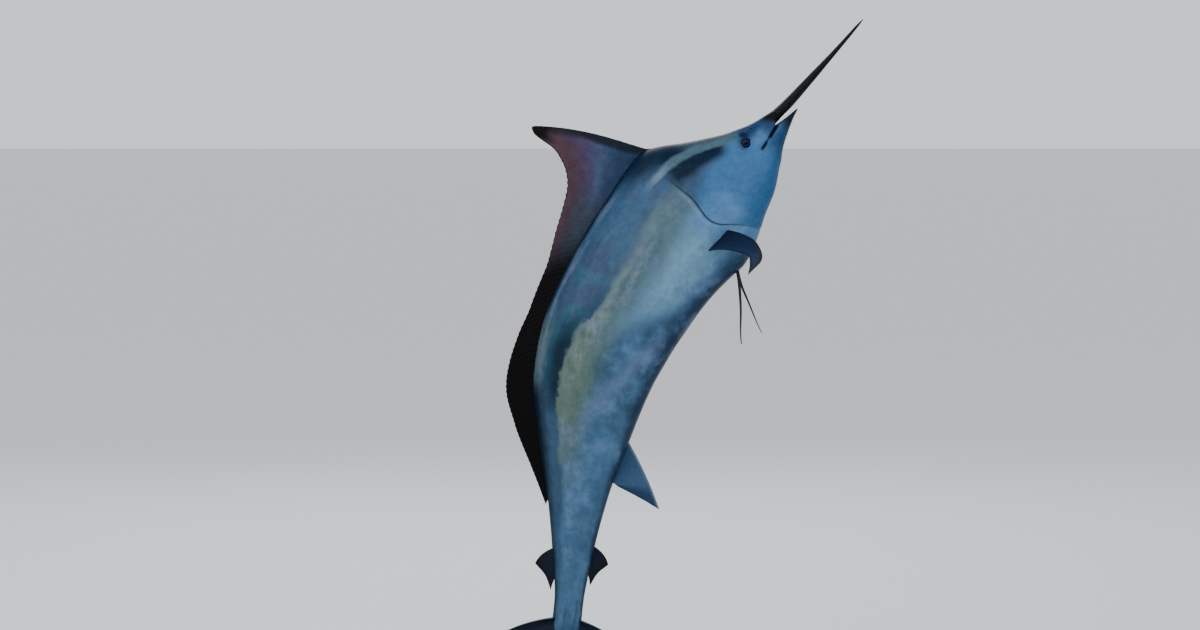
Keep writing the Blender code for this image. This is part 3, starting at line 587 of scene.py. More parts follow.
@dataclass(frozen=True)
class SkinFinish:
    """The wet skin of head, trunk and tail stock: dark back, blue sides and a grey-green band along them,
    with painted light, shade and highlights.
    """

    back: Colour = "0b1a2a"
    upper: Colour = "2a4967"
    violet: Colour = "31385a"
    teal: Colour = "274c5f"
    deep: Colour = "15384a"
    slate: Colour = "485b65"
    lilac: Colour = "566889"
    moss: Colour = "47605b"
    olive: Colour = "435b67"
    green: Colour = "485b53"
    sand: Colour = "6c7972"
    # painted light: the mid flank, lighter as if lit
    light: Colour = "5b829a"
    flank: Colour = "3d6384"
    # the lower flank's dark blue; past the slanting line it is laid as painted shade
    low: Colour = "29435b"
    streak: Colour = "4a6282"
    # painted shade: the underside, dark as if in shade
    belly: Colour = "0e273f"
    cheek: Colour = "335f8b"
    cheek_rear: Colour = "2e4059"
    gill: Colour = "46709b"
    throat: Colour = "22517a"
    # painted highlight: the wet sheen on the top of the head, which shows as the pale line behind it
    crown_highlight: Colour = "3a5563"
    snout: Colour = "0e2a4a"
    temple: Colour = "04192d"
    jaw: Colour = "151a2a"
    bill: Colour = "050609"
    # painted shade: the dark laid into the mouth, the gill slit, the eye pits and the nostrils
    mouth: Colour = "050a16"
    # pale tone of the painted glints and the painted highlight line, also of a pale line behind the gill
    # cover's edge
    rim: Colour = "8097ae"

    def dress(self) -> Material:
        """Makes the material.

        Returns:
            The material.
        """
        g = Graph("marlin_skin")
        here, flow = g.place(), g.attribute("flow")
        drift, patch, mottle = g.noise(here, 2.6), g.noise(here, 8.0, 4.0), g.noise(here, 27.0, 3.0, 0.6)
        blotch = g.noise(g.stretch(flow, (9.0, 22.0, 9.0)), 1.0, 4.0, 0.6)
        grain = g.noise(here, 70.0, 4.0, 0.65)
        at = Reading(*g.parts("place"), *g.parts("marks"), drift, patch, mottle, blotch)
        seam = (at.behind + mottle * 0.004) / (g.rise(0.08, 0.20, at.h) * 0.040 + 0.005)
        face = (self.face(g, at), g.rise(1.0, -1.0, seam))
        # Painted highlight: tiny pale glints, as on wet skin.
        painted_glints = g.rise(0.15, 0.28, g.noise(here, 95.0, 2.0)) * g.rise(-0.15, 0.20, patch)
        colour = g.paint(self.trunk(g, at), face, (self.rim, painted_glints * 0.20))
        colour = g.dim(colour, grain * 0.30 + mottle * 0.60 + blotch * 0.50 + 1.0)
        # Painted shade: the dark tone laid over the skin as far as the mesh's stored shade value says.
        colour = g.mix(g.number("hidden"), colour, self.mouth)
        scale = g.cells(g.stretch(flow, (42.0, 190.0, 25.0)))
        folds = g.noise(g.stretch(flow, (7.0, 34.0, 6.0)), 1.0, 4.0)
        return g.close(
            Base_Color=colour,
            Roughness=patch * 0.20 + grain * 0.15 + 0.38,
            Normal=g.bump(scale, 0.0002, g.bump(folds, 0.0006)),
            Coat_Weight=g.lightness(colour) * 1.8 + 0.005,
            Coat_Roughness=0.14,
            Specular_IOR_Level=0.05,
        )

    def trunk(self, g: Graph, at: Reading) -> Value:
        """The colour behind the gill covers.

        Args:
            g: The material's graph.
            at: What is known of the point.

        Returns:
            The colour.
        """
        s, h, level, patch, blotch = at.s, at.h, at.level, at.patch, at.blotch
        ragged = at.drift * 0.06 + patch * 0.045 + blotch * 0.035 + at.mottle * 0.030
        # How far past a slanting line the point lies; past it the lower rear flank is painted as if in shade.
        past_shade_line = s - 1.175 - (h + 0.304) / 1.05
        # Painted light: the mid flank takes the lighter colour, as if lit, fading partly towards the tail.
        painted_lit_zone = g.rise(-0.92, -0.36, level + ragged * 5.0) * (1.0 - g.rise(1.00, 1.42, s + ragged) * 0.55)
        # Painted shade: the lower flank's colour past that line, darker as if in shade, and darkest in a band
        # just past it.
        rear = g.paint(
            self.low,
            (self.flank, g.rise(-0.10, 0.28, patch + at.drift)),
            (self.low, g.rise(0.14, 0.05, past_shade_line + ragged) * 0.5),
            (self.flank, g.rise(1.70, 2.00, s + patch * 0.3) * 0.45),
        )
        along = h + 0.184 - (s - 1.578) * 0.66
        streak = g.between(-0.045, 0.045, 0.045, along + ragged * 1.2) * g.between(1.42, 2.15, 0.15, s)

        edge = at.above + ragged * 1.2
        low = g.rise(-0.080, 0.060, at.over + ragged * 1.6)
        pale = g.between(-0.075, -0.004, 0.030, edge) * g.between(1.02, 1.68, 0.14, s)
        band = g.paint(
            self.olive,
            (self.green, g.rise(1.25, 1.75, s + patch * 0.5)),
            (self.slate, g.rise(0.02, 0.24, blotch + patch * 0.5) * 0.5),
            (self.sand, pale * g.rise(-0.30, 0.25, blotch + at.mottle * 0.4) * 0.48),
        )
        cloud = patch + at.mottle * 0.3 + blotch * 0.3

        foot = g.between(0.00, 0.065, 0.035, edge) * g.between(1.30, 1.78, 0.15, s)
        black = g.between(1.50, 1.88, 0.10, s) * g.rise(0.29, 0.21, h + patch * 0.05)
        upper = g.paint(
            self.upper,
            (self.teal, g.rise(0.95, 1.35, s + patch * 0.6)),
            (self.violet, g.rise(0.00, 0.14, at.drift + patch * 0.8) * 0.6),
            (self.deep, foot * 0.65),
            (self.back, g.rise(0.02, 0.28, blotch - at.drift * 0.3) * 0.6),
            (self.back, black * 0.9),
            (self.low, g.rise(1.9, 2.2, s)),
        )
        crisp = g.rise(1.05, 1.50, s) * 70.0 + 22.0

        # Painted highlight: near the dorsal fin's base the dark back is laid on more thinly, as wet sheen
        # would lighten it.
        fin_base_sheen = g.between(0.86, 1.50, 0.10, s) * g.rise(0.985, 0.960, level)
        grey = g.rise(0.260, 0.300, h + patch * 0.05) * g.between(1.50, 1.78, 0.08, s)
        # Painted highlight: a pale lilac line along the crest of the back, by the dorsal fin's base.
        crest = g.between(0.92, 1.52, 0.10, s) * g.between(0.90, 0.975, 0.035, level + blotch * 0.08)
        shoulder = g.rise(0.92, 0.76, s + patch * 0.1) * g.rise(0.22, 0.31, h + patch * 0.08)
        gill = g.rise(0.17, 0.02, at.behind + ragged) * g.rise(0.02, -0.07, h)
        rim = g.between(0.010, 0.030, 0.010, at.behind) * g.between(-0.12, 0.06, 0.05, h)
        return g.paint(
            self.flank,
            # painted light on the mid flank
            (self.light, painted_lit_zone),
            # painted shade over the rear of the lower flank
            (rear, g.rise(-0.05, 0.13, past_shade_line + ragged * 1.8)),
            (self.streak, streak * 0.85),
            # painted shade on the underside
            (self.belly, g.rise(-0.66, -0.96, level + patch * 0.22)),
            (band, low * g.rise(2.45, 1.90, s + patch * 0.3)),
            (self.lilac, g.rise(0.00, 0.30, cloud) * 0.40),
            (self.moss, g.rise(0.00, -0.30, cloud) * low * 0.50),
            (upper, g.rise(-1.0, 1.0, (edge - 0.003) * crisp)),
            (self.back, g.rise(0.74, 0.98, level + patch * 0.20) * (1.0 - fin_base_sheen * 0.65)),
            (self.slate, grey * g.rise(-0.30, 0.00, blotch) * 0.9),
            (self.lilac, crest * g.rise(-0.22, 0.22, blotch + patch) * 0.55),
            (self.temple, shoulder * 0.9),
            # painted highlight: the pale line carried back onto the shoulder
            (self.rim, self.highlight_stripe(g, at, -0.018, 0.014) * g.rise(0.86, 0.70, s) * 0.36),
            (self.gill, gill * 0.85),
            (self.rim, rim * 0.22),
        )

    def highlight_stripe(self, g: Graph, at: Reading, low: float, high: float) -> Value:
        """The pale line of painted highlight that runs back from the top of the head.

        Args:
            g: The material's graph.
            at: What is known of the point.
            low: The lower distance from the stripe's middle.
            high: The upper one.

        Returns:
            1 between both, 0 outside.
        """
        away = at.s - 0.71
        middle = at.h - 0.2275 + away * away * 0.75
        return g.between(low, high, 0.009, middle + at.patch * 0.026 + at.blotch * 0.014 + at.mottle * 0.010)

    def face(self, g: Graph, at: Reading) -> Value:
        """The colour ahead of the gill covers' edge.

        Args:
            g: The material's graph.
            at: What is known of the point.

        Returns:
            The colour.
        """
        s, h, patch = at.s, at.h, at.patch
        cheek = g.between(-0.21, -0.03, 0.06, h) * g.rise(0.48, 0.58, s)
        rear = g.rise(0.00, 0.12, h + (s - 0.60) * 0.5 + patch * 0.06) * g.rise(0.40, 0.54, s)
        chin = g.rise(0.30, 0.18, s + patch * 0.04) * g.rise(0.01, -0.02, h)
        # Painted highlight: the top of the head takes a paler tone as wet sheen; the temple's dark is laid
        # over it above and below the pale line.
        crown_highlight = g.rise(0.090, 0.150, h + (0.45 - s) * 0.10 + patch * 0.05) * g.rise(0.27, 0.35, s)
        over = self.highlight_stripe(g, at, 0.024, 0.30) * g.rise(0.48, 0.62, s)
        under = self.highlight_stripe(g, at, -0.30, -0.018) * g.between(0.408, 0.80, 0.045, s + patch * 0.06)
        under = under * g.rise(0.078, 0.138, h - (s - 0.5) * 0.06 + patch * 0.06 + at.mottle * 0.02)
        top = g.rise(0.84, 0.99, at.level + patch * 0.1) * g.rise(0.66, 0.46, s)

        snout = g.rise(0.36, 0.25, s + patch * 0.04) * g.rise(0.045, 0.090, h + patch * 0.03)
        front = g.rise(0.235, 0.160, s + patch * 0.04) * g.rise(-0.002, 0.020, h)
        along, up = s - 0.286 + at.mottle * 0.010, h - 0.106 + patch * 0.020
        brow = g.near(along * 0.69 + up * 0.72, (up * 0.69 - along * 0.72) * 1.7, 0.012, 0.034)
        hood = g.near(s - 0.312, h - 0.073, 0.026, 0.045) * g.rise(-0.016, 0.020, s - 0.308 + h - 0.069)
        tip = g.rise(0.150, 0.070, s + patch * 0.04) * g.rise(0.016, 0.010, h)
        # Painted shade: dark dashes along the mouth's line, where its gap lies in shadow.
        line = h + (s - 0.134) * 0.155 - 0.0125
        lip = g.between(0.130, 0.206, 0.008, s) * g.between(-0.0100, 0.0085, 0.004, line)
        corner = g.between(0.230, 0.278, 0.008, s) * g.between(-0.0085, 0.0085, 0.004, line)
        black = g.rise(0.128, 0.088, s - h * 0.6 + patch * 0.03) * g.rise(0.010, 0.016, h)
        return g.paint(
            self.throat,
            (self.cheek, g.rise(-0.90, -0.25, at.level + patch * 0.4)),
            (self.gill, cheek * 0.85),
            (self.cheek_rear, rear * 0.9),
            (self.snout, chin * 0.68),
            (self.crown_highlight, crown_highlight),
            (self.temple, over),
            (self.temple, under),
            (self.back, top * 0.7),
            (self.snout, (snout + front * (1.0 - snout)) * 0.92),
            (self.temple, brow * 0.95),
            (self.temple, hood * 0.55),
            (self.jaw, tip),
            (self.mouth, lip),
            (self.mouth, corner * 0.8),
            (self.bill, black),
        )


@dataclass(frozen=True)
class BillFinish:
    """The rough, almost black bill."""

    dark: Colour = "040507"
    # lighter flecks laid at random
    fleck: Colour = "22262d"

    def dress(self) -> Material:
        """Makes the material.

        Returns:
            The material.
        """
        g = Graph("marlin_bill")
        grain = g.noise(g.place(), 120.0, 4.0, 0.6)
        grit = g.cells(g.stretch(g.attribute("flow"), (260.0, 420.0, 260.0)))
        return g.close(
            Base_Color=g.mix(g.rise(0.0, 0.3, grain) * 0.6, self.dark, self.fleck),
            Roughness=grain * 0.2 + 0.44,
            Normal=g.bump(grit, 0.0005),
            Specular_IOR_Level=0.10,
        )


@dataclass
class FinGround:
    """What the finishes of the fins share: the place on the fin, the noise and the threads of the rays."""

    name: str
    rays: float
    detail: float
    fineness: float
    patch_scale: float = 9.0
    grain_scale: float = 60.0
    threads: float = 3.0  # to a ray

    def __post_init__(self) -> None:
        """Reads what the fin's mesh holds."""
        self.graph = g = Graph(self.name)
        self.across, self.out, self.ridge = g.parts("ray_place")
        self.patch = g.noise(g.place(), self.patch_scale, 4.0)
        self.grain = g.noise(g.place(), self.grain_scale, self.detail, self.fineness)

    def close(self, colour: Value, rough: float, **sockets: Input) -> Material:
        """Feeds the shader and hands the material over.

        Args:
            colour: The fin's colour.
            rough: Its mean roughness.
            **sockets: The shader's other sockets.

        Returns:
            The material.
        """
        g = self.graph
        thread = g.wave(self.across * (2 * math.pi * self.rays * self.threads) + self.grain * 1.5)
        return g.close(
            Base_Color=colour,
            Roughness=self.grain * 0.2 + self.patch * 0.1 + rough,
            Normal=g.bump(self.grain, 0.0012, g.bump(thread, 0.0003)),
            **sockets,
        )


@dataclass(frozen=True)
class FinFinish:
    """A fin: its colour at the root, over the web, towards the rear, along the edge and down the front."""

    name: str
    rays: float
    root: Colour = "0c1526"
    web: Colour = "0c1322"
    rear: Colour = "090e18"
    edge: Colour = "05060a"
    front: Colour = "06070c"
    rear_span: Pair = (0.65, 0.85)  # shares of the way out over which the rear's colour comes in
    edge_span: Pair = (0.91, 0.98)
    rough: float = 0.36

    def dress(self) -> Material:
        """Makes the material.

        Returns:
            The material.
        """
        fin = FinGround(self.name, self.rays, 4.0, 0.6)
        g = fin.graph
        out = fin.out + fin.patch * 0.12
        colour = g.paint(
            self.root,
            (self.web, g.rise(0.12, 0.55, out)),
            (self.rear, g.rise(*self.rear_span, out)),
            (self.edge, g.rise(*self.edge_span, out)),
            (self.front, g.rise(0.10, 0.02, fin.across)),
            (self.edge, fin.ridge * 0.25),
        )
        colour = g.dim(colour, fin.grain * 0.8 + 1.0)
        return fin.close(colour, self.rough, Coat_Weight=0.03, Coat_Roughness=0.20, Specular_IOR_Level=0.09)


@dataclass(frozen=True)
class DorsalFinish:
    """The first dorsal fin: slate and purple in front, red-brown behind, black tip and rear."""

    base: Colour = "20304a"
    slate: Colour = "384763"
    purple: Colour = "39344f"
    brown: Colour = "3f2d36"
    ash: Colour = "2b323b"
    black: Colour = "030304"
    lead: Colour = "0d161b"
    rays: float = 84.0
    rough: float = 0.46

    def dress(self) -> Material:
        """Makes the material.

        Returns:
            The material.
        """
        fin = FinGround("dorsal_fin", self.rays, 5.0, 0.65)
        g, across, out, patch = fin.graph, fin.across, fin.out, fin.patch
        way = out + patch * 0.16
        aft = g.rise(0.00, 0.15, across + patch * 0.08)
        red = g.rise(0.03, 0.17, across + patch * 0.05 + g.rise(0.70, 0.95, way) * 0.03)
        ash = g.rise(0.25, 0.35, across + patch * 0.10) * g.rise(0.95, 0.60, way)
        lead = g.rise(0.044, 0.020, g.number("rim") + patch * 0.03) * g.rise(0.18, 0.13, across)
        tip = g.rise(0.16, 0.12, across + patch * 0.04) * g.rise(0.70, 0.88, way)
        tip = tip + g.between(0.12, 0.18, 0.02, across) * g.rise(0.80, 0.92, way)
        colour = g.paint(
            self.base,
            (self.slate, g.rise(0.15, 0.45, way)),
            (self.purple, aft * g.rise(0.30, 0.55, way)),
            (self.brown, red * g.rise(0.52, 0.80, way)),
            (self.ash, ash * 0.85),
            (self.lead, lead * 0.9),
            (self.black, g.rise(0.960, 0.995, out + patch * 0.02)),
            (self.lead, g.rise(0.070, 0.010, across + patch * 0.03) * 0.9),
            (self.black, tip),
            (self.black, g.rise(0.38, 0.49, across + patch * 0.04)),
        )
        colour = g.dim(colour, fin.grain * 0.5 + g.noise(g.place(), 26.0, 4.0, 0.6) * 0.9 + 1.0)
        return fin.close(colour, self.rough, Specular_IOR_Level=0.06)


@dataclass(frozen=True)
class EyeFinish:
    """A dark eye with a black pupil, a thin grey-blue ring round it and a dark blue iris."""

    pupil: Colour = "020307"
    iris: Colour = "0a1838"
    ring: Colour = "24364f"
    white: Colour = "060c1c"

    def dress(self) -> Material:
        """Makes the material.

        Returns:
            The material.
        """
        g = Graph("marlin_eye")
        reach = g.number("gaze") + g.noise(g.place(), 260.0, 3.0) * 0.02
        colour = g.paint(
            self.pupil,
            (self.ring, g.rise(0.34, 0.38, reach)),
            (self.iris, g.rise(0.38, 0.46, reach)),
            (self.white, g.rise(0.60, 0.68, reach)),
        )
        return g.close(Base_Color=colour, Roughness=0.10, Specular_IOR_Level=0.07)


@dataclass(frozen=True)
class WoodFinish:
    """Dark stained wood under a satin lacquer."""

    dark: Colour = "2b1b12"
    light: Colour = "5a3a25"

    def dress(self) -> Material:
        """Makes the material.

        Returns:
            The material.
        """
        g = Graph("base_wood")
        here = g.place()
        warp = g.noise(g.stretch(here, (0.8, 7.0, 7.0)), 1.5, 3.0)
        grain = g.noise(g.stretch(here, (3.0, 90.0, 90.0)), 1.0, 5.0, 0.6)
        return g.close(
            Base_Color=g.mix(g.wave(warp * 34.0) * 0.55 + grain * 0.8, self.dark, self.light),
            Roughness=grain * 0.2 + 0.40,
            Normal=g.bump(grain, 0.0006),
            Coat_Weight=0.08,
            Coat_Roughness=0.10,
            Specular_IOR_Level=0.22,
        )


@dataclass(frozen=True)
class SteelFinish:
    """Brushed steel."""

    tone: Colour = "b9bbbd"
    dull: Colour = "8c8f93"

    def dress(self) -> Material:
        """Makes the material.

        Returns:
            The material.
        """
        g = Graph("rod_steel")
        brushed = g.noise(g.stretch(g.place(), (60.0, 60.0, 2.0)), 10.0, 3.0)
        return g.close(
            Base_Color=g.mix(g.noise(g.place(), 12.0, 3.0) + 0.5, self.tone, self.dull),
            Roughness=brushed * 0.15 + 0.28,
            Normal=g.bump(brushed, 0.0002),
            Metallic=1.0,
        )


@dataclass(frozen=True)
class FloorFinish:
    """A plain pale floor."""

    tone: Colour = "d4d6d9"

    def dress(self) -> Material:
        """Makes the floor's material."""
        return Graph("pale_floor").close(Base_Color=self.tone, Roughness=0.6)


def add_object(name: str, data: bpy.types.ID) -> Object:
    """Adds an object with that data to the scene.

    Args:
        name: Its name.
        data: Its mesh, light or camera.

    Returns:
        The object.
    """
    made = bpy.data.objects.new(name, data)
    bpy.context.scene.collection.objects.link(made)
    return made


class Shell:
    """A mesh in the making, with the values that its finish reads at each point."""

    def __init__(self, vectors: Sequence[str] = (), numbers: Sequence[str] = ()) -> None:
        """Starts with nothing in it.

        Args:
            vectors: The names of the vectors that the finish reads.
            numbers: The names of the numbers.
        """
        self.mesh = bmesh.new()
        layers = self.mesh.verts.layers
        self.layers = {name: layers.float_vector.new(name) for name in vectors}
        self.layers |= {name: layers.float.new(name) for name in numbers}

    def circle(self, sides: int) -> list[BMVert]:
        """Adds a closed loop of edges."""
        return bmesh.ops.create_circle(self.mesh, segments=sides, radius=1.0)["verts"]

    def step_on(self, loop: Loop) -> list[BMVert]:
        """Extrudes a closed loop of vertices.

        Args:
            loop: The loop, in order.

        Returns:
            The new loop, in the same order.
        """
        edges = [self.mesh.edges.get((loop[j - 1], loop[j])) for j in range(len(loop))]
        made = bmesh.ops.extrude_edge_only(self.mesh, edges=edges)["geom"]
        fresh = {item for item in made if isinstance(item, BMVert)}
        return [next(e.other_vert(v) for e in v.link_edges if e.other_vert(v) in fresh) for v in loop]

    def close_end(self, loop: Loop) -> None:
        """Closes a loop with a fan of faces, whose middle takes over the values of the first vertex.

        Args:
            loop: The loop, in order.
        """
        face = self.mesh.faces.new(loop)
        middle = bmesh.ops.poke(self.mesh, faces=[face])["verts"][0]
        for layer in self.layers.values():
            middle[layer] = loop[0][layer]

    def write(self, verts: Loop, places: np.ndarray, **values: np.ndarray) -> None:
        """Moves vertices and stores what the finish reads there.

        Args:
            verts: The vertices.
            places: Their places.
            **values: The values for each of them, by name.
        """
        for k, vert in enumerate(verts):
            vert.co = places[k]
            for name, rows in values.items():
                vert[self.layers[name]] = rows[k]

    def round_off(self, edges: Sequence[BMEdge], offset: float, segments: int) -> None:
        """Rounds edges off.

        Args:
            edges: The edges.
            offset: How wide the round is.
            segments: How many faces it takes.
        """
        form = {"profile": 0.5, "affect": "EDGES", "material": -1}
        bmesh.ops.bevel(self.mesh, geom=edges, offset=offset, segments=segments, **form)

    def cylinder(self, radius: float, height: float, sides: int) -> list[BMVert]:
        """Adds a closed cylinder that stands on the origin.

        Args:
            radius: Its radius.
            height: Its height.
            sides: How many sides it has.

        Returns:
            Its vertices.
        """
        form = {"cap_ends": True, "segments": sides, "radius1": radius, "radius2": radius, "depth": height}
        verts = bmesh.ops.create_cone(self.mesh, **form)["verts"]
        bmesh.ops.translate(self.mesh, vec=(0.0, 0.0, height / 2), verts=verts)
        return verts

    def finish(self, name: str, material: Material) -> Object:
        """Turns the mesh into an object at the origin.

        Args:
            name: Its name.
            material: Its finish.

        Returns:
            The object.
        """
        data = bpy.data.meshes.new(name)
        self.mesh.to_mesh(data)
        self.mesh.free()
        data.materials.append(material)
        return add_object(name, data)

    def place(
        self, name: str, material: Material, slot: str, nodes: Sequence[str], levels: int = 1
    ) -> Object:
        """Turns the mesh into a piece of the model, in the place of its solids.

        Args:
            name: The piece's name.
            material: Its finish.
            slot: The finish's slot; not used.
            nodes: The solids that it stands for.
            levels: How often it is subdivided.

        Returns:
            The object.
        """
        bmesh.ops.recalc_face_normals(self.mesh, faces=self.mesh.faces)
        made = self.finish(name, material)
        made.data.shade_smooth()
        if levels:
            smooth = made.modifiers.new("smooth", "SUBSURF")
            smooth.levels = smooth.render_levels = levels
        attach(made, BODY)
        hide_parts(*nodes)
        LOG.info("%s: %d faces, %d levels", name, len(made.data.polygons), levels)
        return made


class Along(Enum):
    """What a soft limit is measured along."""

    LENGTH = "metres from the tip of the lower jaw"
    BEHIND = "metres behind the edge of the gill cover"
    ROUND = "degrees from the back, on either side"


LENGTH, BEHIND, ROUND = Along
Limit = tuple[Callable[[float, float, Numbers], np.ndarray], Along, float, float]


@dataclass(frozen=True)
class Swelling:
    """Skin that bone or muscle raises, or that sinks where the height is below 0, within soft limits."""

    height: float
    limits: tuple[Limit, ...]

    def at(self, s: Numbers, fold: Numbers) -> np.ndarray:
        """The rise in metres at distances along the spine and degrees from the back."""
        where = {LENGTH: s, BEHIND: s - GILL_EDGE(fold), ROUND: fold}
        return self.height * math.prod(form(a, b, where[along]) for form, along, a, b in self.limits)


HEAD = (rise, BEHIND, 0.02, -0.02)
CHEEK = ((rise, ROUND, 60, 92), (rise, ROUND, 150, 124), HEAD)
KEEL = (hill, LENGTH, 0.945 * SPINE.length, 0.050)
SWELLINGS = {
    "groove of the cheek": Swelling(-0.0022, ((hill, BEHIND, -0.165, 0.018), *CHEEK)),
    "bone of the cheek": Swelling(0.0020, ((hill, BEHIND, -0.205, 0.030), *CHEEK)),
    "brow": Swelling(0.0045, ((hill, LENGTH, 0.302, 0.050), (hill, ROUND, 44, 9))),
    "hollow under the eye": Swelling(-0.0030, ((hill, LENGTH, 0.335, 0.035), (hill, ROUND, 84, 10))),
    "upper jaw": Swelling(
        0.0035, ((hill, ROUND, 82, 7), (rise, LENGTH, 0.11, 0.17), (rise, LENGTH, 0.325, 0.295))
    ),
    "groove of the throat": Swelling(
        -0.007, ((hill, ROUND, 180, 5), (rise, LENGTH, 0.30, 0.36), (rise, LENGTH, 0.52, 0.48))
    ),
    "ridge of the back": Swelling(
        0.006, ((hill, ROUND, 0, 5), (rise, LENGTH, 0.60, 0.72), (rise, LENGTH, 2.40, 2.30))
    ),
    "groove of the belly": Swelling(
        -0.004, ((hill, ROUND, 173, 3), (rise, LENGTH, 0.75, 0.80), (rise, LENGTH, 1.34, 1.24))
    ),
    "shoulder": Swelling(0.010, ((hill, LENGTH, 0.745, 0.085), (hill, ROUND, 116, 12))),
    "hollow of the nape": Swelling(-0.004, ((hill, LENGTH, 0.520, 0.080), (hill, ROUND, 40, 16), HEAD)),
    "upper keel": Swelling(0.015, ((hill, ROUND, 71, 7), KEEL)),
    "lower keel": Swelling(0.015, ((hill, ROUND, 111, 7), KEEL)),
}
THROAT = Swelling(
    0.0022,
    (
        (rise, ROUND, 136, 146),
        (rise, ROUND, 176, 168),
        (rise, LENGTH, 0.26, 0.34),
        (rise, BEHIND, 0.0, -0.03),
        HEAD,
    ),
)
LIP = Swelling(
    0.0030, ((hill, ROUND, 90, 9), (rise, LENGTH, 0.02, 0.10), (rise, LENGTH, MOUTH_CORNER, 0.225))
)


@dataclass
class Ring:
    """One closed ring of the skin: where each of its points lies, and what the finish reads there."""

    s: np.ndarray
    h: np.ndarray
    r: np.ndarray
    fold: np.ndarray
    # how much painted shade darkens the point
    hidden: np.ndarray

    def girth(self) -> np.ndarray:
        """Measures the way round the ring from the back, the same on both sides.

        Returns:
            The way to each point, in metres.
        """
        step = np.hypot(np.diff(self.h, append=self.h[0]), np.diff(self.r, append=self.r[0]))
        one = np.concatenate([[0.0], np.cumsum(step)[:-1]])
        return np.minimum(one, step.sum() - one)


